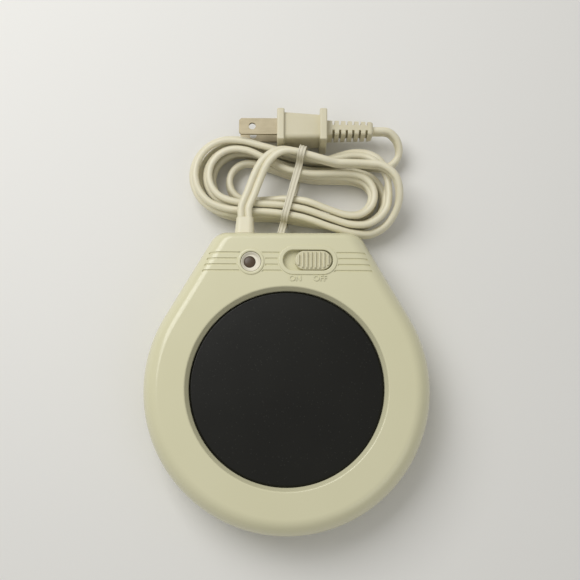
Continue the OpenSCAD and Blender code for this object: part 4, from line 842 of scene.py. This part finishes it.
# How far the loops lean inwards, in degrees, at places along the hank, and the lower layer's share of it
lean_at = (-0.3, 0.12, 0.3, 0.58, 0.85, 1.3)
lean_by = (25, 24, 4, 0, -18, -24)
low_lean = 0.3
slack_lean = 50
slack_skips = 3
# How far the left and right folds of each loop fall short of the outermost, in the two layers
high_short = ((0, 2.6, 6.5), (0, 1.2, 4.0))
low_short = ((2.2, 4.4, 8.5), (0.6, 2.6, 3.2))
# The first fold as (outside the outer loop, above the upper layer), and the slack loop with its place along
# the run before these two
first_fold = ((-3.2, 6.2), (-1.4, 6.9), (-0.1, 6.8), (0, 4.6), (0, 0.4), (0, -2.8), (0, -3.8), (0, -2.2))
slack_loop = ((0.68, -2.8, -0.2), (0.79, 0.7, -1.0), (0.895, 3.5, -1.7), (0.99, 4.0, -1.6), (1.07, 2.2, -0.8),
              (1.13, -1.3, -0.6), (1.172, -5.9, -0.4))
lead_out = (0, 5, 0.2)
lead_way = ((-17.4, 88, 18.4), (-14.4, 96, 18.9), (-10.9, 103, 19.7), (-5.6, 107.7, 20), (0.6, 108.8, 20),
            (8.2, 106.5, 20.1), (16.5, 104.1, 19.8))
tail_way = ((48.6, 105.2, 4.9), (52.8, 108.6, 5.5), (54, 113, 7.1))
tail_to_plug = ((52.4, -3.6, -1.8), (48.7, -0.5, -0.2), (44.7, 0, 0), (40.7, 0, 0))
plug_gap = 0.7 * mm
plug_beside = 0.3
plug_flange = (15.6 * mm, 22.2 * mm)
plug_z = plug_flange[1] / 2
plug_tail_x = 40.7 * mm


def unit(way):
    """A vector's direction, of length 1."""
    return way / np.linalg.norm(way)


def layer_share(z):
    """How far a height is from the lower layer (0) to the upper (1)."""
    return np.clip((z - low_z) / (high_z - low_z), 0, 1)


hank_u = unit(fold_right - fold_left)
hank_n = np.array((-hank_u[1], hank_u[0]))
half_turn = [hank_n * cos(a) + hank_u * sin(a) for a in np.linspace(0, pi, fold_rings)]
far, near = 1, -1


def fold_centres(slot, z):
    """Centres of a loop's two folds: the inner loops are shorter, and each layer in its own way."""
    share = layer_share(z)
    left, right = (mm * ((1 - share) * np.interp(slot, range(slots), low_short[i])
                         + share * np.interp(slot, range(slots), high_short[i])) for i in (0, 1))
    return fold_left + hank_u * left, fold_right - hank_u * right


def run_at(side, s, slot, z):
    """Point of a loop's far run, from left to right, or near run back; both are drawn in at the waist."""
    start, end = fold_centres(slot, z)[::side]
    reach = fold_r - slot * slot_pitch - waist * sin(pi * s) ** 2
    return np.array((*(start + (end - start) * s + side * hank_n * reach), z))


def run_points(side, slot, z, shift=0):
    """Points of a whole run, which may move over by a slot in its first part."""
    return [run_at(side, s, slot + shift * min(1.0, s / step_share), z) for s in run_stations]


def fold_at(side, slot, z):
    """Half turn of one loop: from far to near about its right fold (1), or back about its left (-1)."""
    centre = fold_centres(slot, z)[0 if side < 0 else 1]
    reach = fold_r - slot * slot_pitch
    return [np.array((*(centre + side * reach * way), z)) for way in half_turn]


def smooth_route(points, steps):
    """Catmull-Rom curve through the inner points, with straight first and last pieces."""
    inner = points[1:-1]
    last = len(inner) - 1
    result = [points[0]]
    for i in range(last):
        a = inner[i - 1] if i else points[0]
        b, c = inner[i], inner[i + 1]
        d = points[-1] if i == last - 1 else inner[i + 2]
        for j in range(steps):
            t = j / steps
            result.append(0.5 * (2 * b + (c - a) * t + (2 * a - 5 * b + 4 * c - d) * t ** 2
                                 + (3 * b - a - 3 * c + d) * t ** 3))
    return result + [inner[-1], points[-1]]


hank = [run_at(far, lead_in, lead_slot, high_z + lead_rise)]
for way, (out, rise) in zip(half_turn, first_fold):
    hank.append(np.array((*(fold_right + (fold_r + out * mm) * way), high_z + rise * mm)))
hank += run_points(near, 0, high_z) + fold_at(-1, 0, high_z) + run_points(far, 0, high_z)[:2]
slack_from = len(hank)
for s, out, rise in slack_loop:
    p = fold_left + (fold_right - fold_left) * s + hank_n * (fold_r + out * mm)
    hank.append(np.array((*p, high_z + rise * mm)))
slack_to = len(hank)
for k in range(1, slots):
    last_slot = k == slots - 1
    hank += fold_at(1, k, high_z)[0 if k > 1 else slack_skips:]
    fall = high_z - low_z if last_slot else 0.0
    hank += [run_at(near, s, k, high_z - max(0.0, (s - step_share) / (1 - step_share)) * fall)
             for s in run_stations]
    hank += fold_at(-1, k, low_z if last_slot else high_z)
    if not last_slot:
        hank += run_points(far, k, high_z, 1)
for k in range(slots - 1, 0, -1):
    hank += run_points(far, k, low_z) + fold_at(1, k, low_z)
    hank += run_points(near, k, low_z, -1) + fold_at(-1, k - 1, low_z)
hank += run_points(far, 0, low_z) + [run_at(far, 1.0, 0, low_z)]
start_way, end_way = unit(hank[1] - hank[0]), unit(hank[-1] - hank[-2])

bushing_mouth = np.array((bushing_x, nose_end, bushing_z))
lead_points = [bushing_mouth, bushing_mouth + np.array(lead_out) * mm]
lead_points += [np.array(p) * mm for p in lead_way] + [hank[0] - end_straight * start_way, hank[0]]
lead = smooth_route(lead_points, 2)
plug_y = run_at(far, plug_beside, 0, high_z)[1] + cord_t / 2 + plug_gap + plug_flange[0] / 2
tail_points = [hank[-1], hank[-1] + end_straight * end_way] + [np.array(p) * mm for p in tail_way]
tail_points += [np.array((x * mm, plug_y + y * mm, plug_z + z * mm)) for x, y, z in tail_to_plug]
tail = smooth_route(tail_points, 2)
cord_knots = np.array(lead + hank[1:] + tail[1:])
flat_until, edge_from = 5, 13
turned = (np.arange(len(cord_knots)) - flat_until) / (edge_from - flat_until)
cord_rolls = pi / 2 * np.clip(turned, 0, 1)
for i, p in enumerate(hank):
    t = np.dot(p[:2] - fold_left, hank_u) / np.linalg.norm(fold_right - fold_left)
    lean = np.interp(t, lean_at, lean_by) * (low_lean + (1 - low_lean) * layer_share(p[2]))
    if slack_from <= i < slack_to:
        lean = slack_lean * sin(pi * (i - slack_from + 1) / (slack_to - slack_from + 1))
    if fold_rings < i < len(hank) - 2:
        cord_rolls[len(lead) - 1 + i] -= radians(lean)


def through(knots, values, steps):
    """Hermite curve through knots with tangents weighted by their spacing; values go along with it."""
    span = np.linalg.norm(np.diff(knots, axis=0), axis=1)
    slope = np.diff(knots, axis=0) / span[:, None]
    tangent = np.vstack([slope[:1], (slope[:-1] * span[1:, None] + slope[1:] * span[:-1, None])
                         / (span[1:] + span[:-1])[:, None], slope[-1:]])
    points, carried = [], []
    for i in range(len(knots) - 1):
        for t in np.arange(steps) / steps:
            h = (2 * t ** 3 - 3 * t ** 2 + 1, t ** 3 - 2 * t ** 2 + t, 3 * t ** 2 - 2 * t ** 3, t ** 3 - t ** 2)
            points.append(h[0] * knots[i] + h[1] * span[i] * tangent[i] + h[2] * knots[i + 1]
                          + h[3] * span[i] * tangent[i + 1])
            carried.append(values[i] + (values[i + 1] - values[i]) * t)
    return np.array(points + [knots[-1]]), np.array(carried + [values[-1]])


def ways_along(points):
    """Direction of a path at each of its points."""
    before, after = [points[0], *points[:-1]], [*points[1:], points[-1]]
    return [unit(b - a) for a, b in zip(before, after)]


def ribbon(points, rolls, section):
    """Swept section; its first axis lies level at roll 0 and stands upright at a quarter turn."""
    rings = []
    for p, way, roll in zip(points, ways_along(points), rolls):
        level = unit(np.cross(way, (0, 0, 1)))
        up = np.cross(level, way)
        a = level * cos(roll) + up * sin(roll)
        b = up * cos(roll) - level * sin(roll)
        rings.append([tuple(p + a * x + b * y) for x, y in section])
    return mended(skin(rings))


core_w = cord_w / 4
web = 0.45 * mm
lobe = [(core_w + core_w * cos(t), cord_t / 2 * sin(t))
        for t in np.radians(np.linspace(-158, 158, 21))]
cord_section = lobe + [(0, web)] + [(-x, -y) for x, y in lobe] + [(0, -web)]
cord_path, cord_turns = through(cord_knots, cord_rolls, 4)
cord_mesh = shaped(ribbon(cord_path, cord_turns, cord_section), sharp=60)
cord_piece = piece_of("mains_lead", cord_mesh, soft_pvc)
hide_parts("cord_lead", "cord_hank", "cord_tail")
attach(cord_piece, "housing")

# Twist tie: a plastic strip with a wire in it, once round the hank's waist and over the lead.
# Pale plastic pressed on both sides of the wire, which shows as a ridge between two beaded edges.
tie_w = 3.4 * mm
tie_t = 0.8 * mm
tie_share = 0.485
tie_at = fold_left + (fold_right - fold_left) * tie_share
tie_route = ((-24, 10.6), (-20.5, 10.4), (-18.3, 11.6), (-17.9, 14.6), (-16.4, 16.8), (-9, 17.1), (2, 17.1),
             (9.2, 17.3), (10.5, 19.4), (10.9, 22), (11.9, 24), (13.6, 24.7), (15.5, 24.4), (16.9, 22.6),
             (17.5, 18.8), (17.8, 14), (17.9, 8), (17.9, 2.6), (16.5, 0.5), (9, 0.5), (-9, 0.5), (-16.4, 0.5),
             (-18, 2.8), (-18.3, 7.2), (-20.5, 8.8), (-24, 8.8))
tie_lean = 0.09
tie_n = (hank_n + hank_u * tie_lean) / hypot(1, tie_lean)
tie_knots = np.array([(*(tie_at + tie_n * q * mm), z * mm) for q, z in tie_route])
tie_path = through(tie_knots, np.zeros(len(tie_knots)), 4)[0]
tie_side = np.array((tie_n[1], -tie_n[0], 0))
half_section = [(0.5, 0.1), (0.48, 0.34), (0.42, 0.44), (0.35, 0.4), (0.29, 0.1), (0.19, 0.06), (0.12, 0.14),
                (0.08, 0.44)]
half_section += [(-x, y) for x, y in half_section[::-1]]
tie_section = [(x * tie_w, y * tie_t) for x, y in half_section]
tie_section += [(x, -y) for x, y in tie_section[::-1]]
tie_rings = []
for p, way in zip(tie_path, ways_along(tie_path)):
    lift = np.cross(way, tie_side)
    ring = [p + tie_side * x + lift * y for x, y in tie_section]
    tie_rings.append([(x, y, max(z, 0.05 * mm)) for x, y, z in ring])
tie_plastic = mottled("pale_tie_plastic", "#CFC9B2", "#E0DAC6", 4 * mm, 0.4, 0.15)
tie_piece = piece_of("tie_strip", shaped(mended(skin(tie_rings)), sharp=35), tie_plastic)
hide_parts("twist_tie")
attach(tie_piece, "housing")

# Plug: a moulded two-pin plug standing on its finger flanges behind the hank.
# Cream PVC moulded over the blades: a tapered body between the two flanges, and a strain relief
# with slots cut in from both sides so that it can bend.
plug_face_x = -5.3 * mm
relief_x = 18.5 * mm
flange_thick = 3.5 * mm
plug_size = (13.8 * mm, 19.4 * mm)
plug_taper = 0.84
relief_size = (7.6 * mm, 12.6 * mm)
relief_taper = 0.86
relief_l = plug_tail_x - relief_x
slot_count = 6
slot_t = 1.1 * mm
blade_gap = 12.7 * mm
blade_play = 0.1 * mm
blade_half = 0.85 * mm
blade_in = 9 * mm
plug_round, flange_round, relief_round = 2.2 * mm, 0.7 * mm, 1.4 * mm


def plug_block(x0, x1, size, radius, taper=1.0):
    """Block on the plug's axis with all its edges rounded, drawn in along it to a share of its size."""
    bm = bmesh.new()
    bmesh.ops.create_cube(bm, size=1.0, matrix=Matrix.Translation(((x0 + x1) / 2, 0, 0))
                          @ Matrix.Diagonal((x1 - x0, *size, 1)))
    bmesh.ops.bevel(bm, geom=bm.edges[:], offset=radius, segments=5, profile=0.5, affect="EDGES")
    for v in bm.verts:
        share = 1 - (1 - taper) * (v.co.x - x0) / (x1 - x0)
        v.co.y = v.co.y * share + plug_y
        v.co.z = v.co.z * share + plug_z
    mesh = bpy.data.meshes.new("block")
    bm.to_mesh(mesh)
    bm.free()
    return mesh


plug_base = plug_block(plug_face_x + 1 * mm, relief_x - 1 * mm, plug_size, plug_round, plug_taper)
plug_joins = [plug_block(plug_face_x, plug_face_x + flange_thick, plug_flange, flange_round),
              plug_block(relief_x - flange_thick, relief_x, plug_flange, flange_round),
              plug_block(relief_x - 2 * mm, plug_tail_x, relief_size, relief_round, relief_taper)]
slot_deep = relief_size[0] * 0.34
slot_step = relief_l / (slot_count + 1)
plug_cuts = []
for i in range(1, slot_count + 1):
    for s in (-1, 1):
        x = relief_x + slot_step * i
        y = plug_y + s * (relief_size[0] / 2 + 1 * mm - slot_deep / 2)
        side = slot_deep / 2 + cut_past
        plug_cuts.append(bar((x - slot_t / 2, y - side, plug_z - relief_size[1]),
                             (x + slot_t / 2, y + side, plug_z + relief_size[1])))
for s, width in ((1, 7.9 * mm), (-1, 6.35 * mm)):
    side, z = width / 2 + blade_play, plug_z + s * blade_gap / 2
    plug_cuts.append(bar((plug_face_x - cut_past, plug_y - side, z - blade_half),
                         (plug_face_x + blade_in, plug_y + side, z + blade_half)))
plug_mesh = shaped(plug_base, joins=plug_joins, cuts=plug_cuts, sharp=40)
plug_pvc = soft_vinyl("cream_plug_pvc", "#D0C9AC", "#DCD5BA")
plug_piece = piece_of("plug_moulding", plug_mesh, plug_pvc)
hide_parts("plug_body")
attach(plug_piece, "housing")

# Plug blades: stamped from nickel-plated brass strip, the neutral one wider.
# Flat from CAD, with a round hole near the tip; the plating is rubbed along the blade.
blade_metal = metal("nickel_plated_brass", "#968C74", "#B3A990", 0.5)
for blade_node in ("plug_blade_wide", "plug_blade_narrow"):
    dress(blade_node, blade_metal)

# Floor, light and camera: a pale studio sweep under one large soft lamp.
# The camera stands where the photograph was taken, nearly straight above the front.
floor_half = 15.0
floor_mesh = bar((-floor_half, -floor_half, -10 * mm), (floor_half, floor_half, 0.0))
floor_material = mottled("pale_studio_floor", "#E6E5E1", "#EBEAE6", 400 * mm, 0.8, 0.02)
floor = piece_of("studio_floor", floor_mesh, floor_material)


def soft_lamp(name, place, aim, size, power):
    """Square area lamp that faces a point."""
    lamp = bpy.data.lights.new(name, "AREA")
    lamp.size = size
    lamp.energy = power
    holder = linked(name, lamp)
    holder.location = place
    holder.rotation_euler = (Vector(aim) - Vector(place)).to_track_quat("-Z", "Y").to_euler()


middle = (0.0, 0.03, 0.0)
soft_lamp("overhead", (-0.3, 0.36, 0.6), middle, 0.5, 3.5)
soft_lamp("front_fill", (0.6, -0.5, 0.7), middle, 0.6, 0.7)
sky = bpy.data.worlds.new("studio_sky")
sky.use_nodes = True
sky.node_tree.nodes["Background"].inputs["Color"].default_value = linear("#F4F3F0")
sky.node_tree.nodes["Background"].inputs["Strength"].default_value = 0.42
bpy.context.scene.world = sky
bpy.context.scene.view_settings.view_transform = "Standard"

aim_at = Vector((1.276, 45.123, 0)) * mm
elevation = radians(79.79)
distance = 420 * mm
tilt = radians(0.318)
camera = bpy.data.cameras.new("photo_camera")
camera.sensor_width = 36
camera.lens = 54.05
camera.clip_start = 0.01
camera_back = Vector((0, -cos(elevation), sin(elevation)))
camera_up = Vector((0, sin(elevation), cos(elevation)))
camera_right = Vector((1, 0, 0))
right = camera_right * cos(tilt) + camera_up * sin(tilt)
up = camera_up * cos(tilt) - camera_right * sin(tilt)
holder = linked("photo_camera", camera)
holder.matrix_world = Matrix.Translation(aim_at + camera_back * distance) @ Matrix(
    (right, up, camera_back)).transposed().to_4x4()
bpy.context.scene.camera = holder
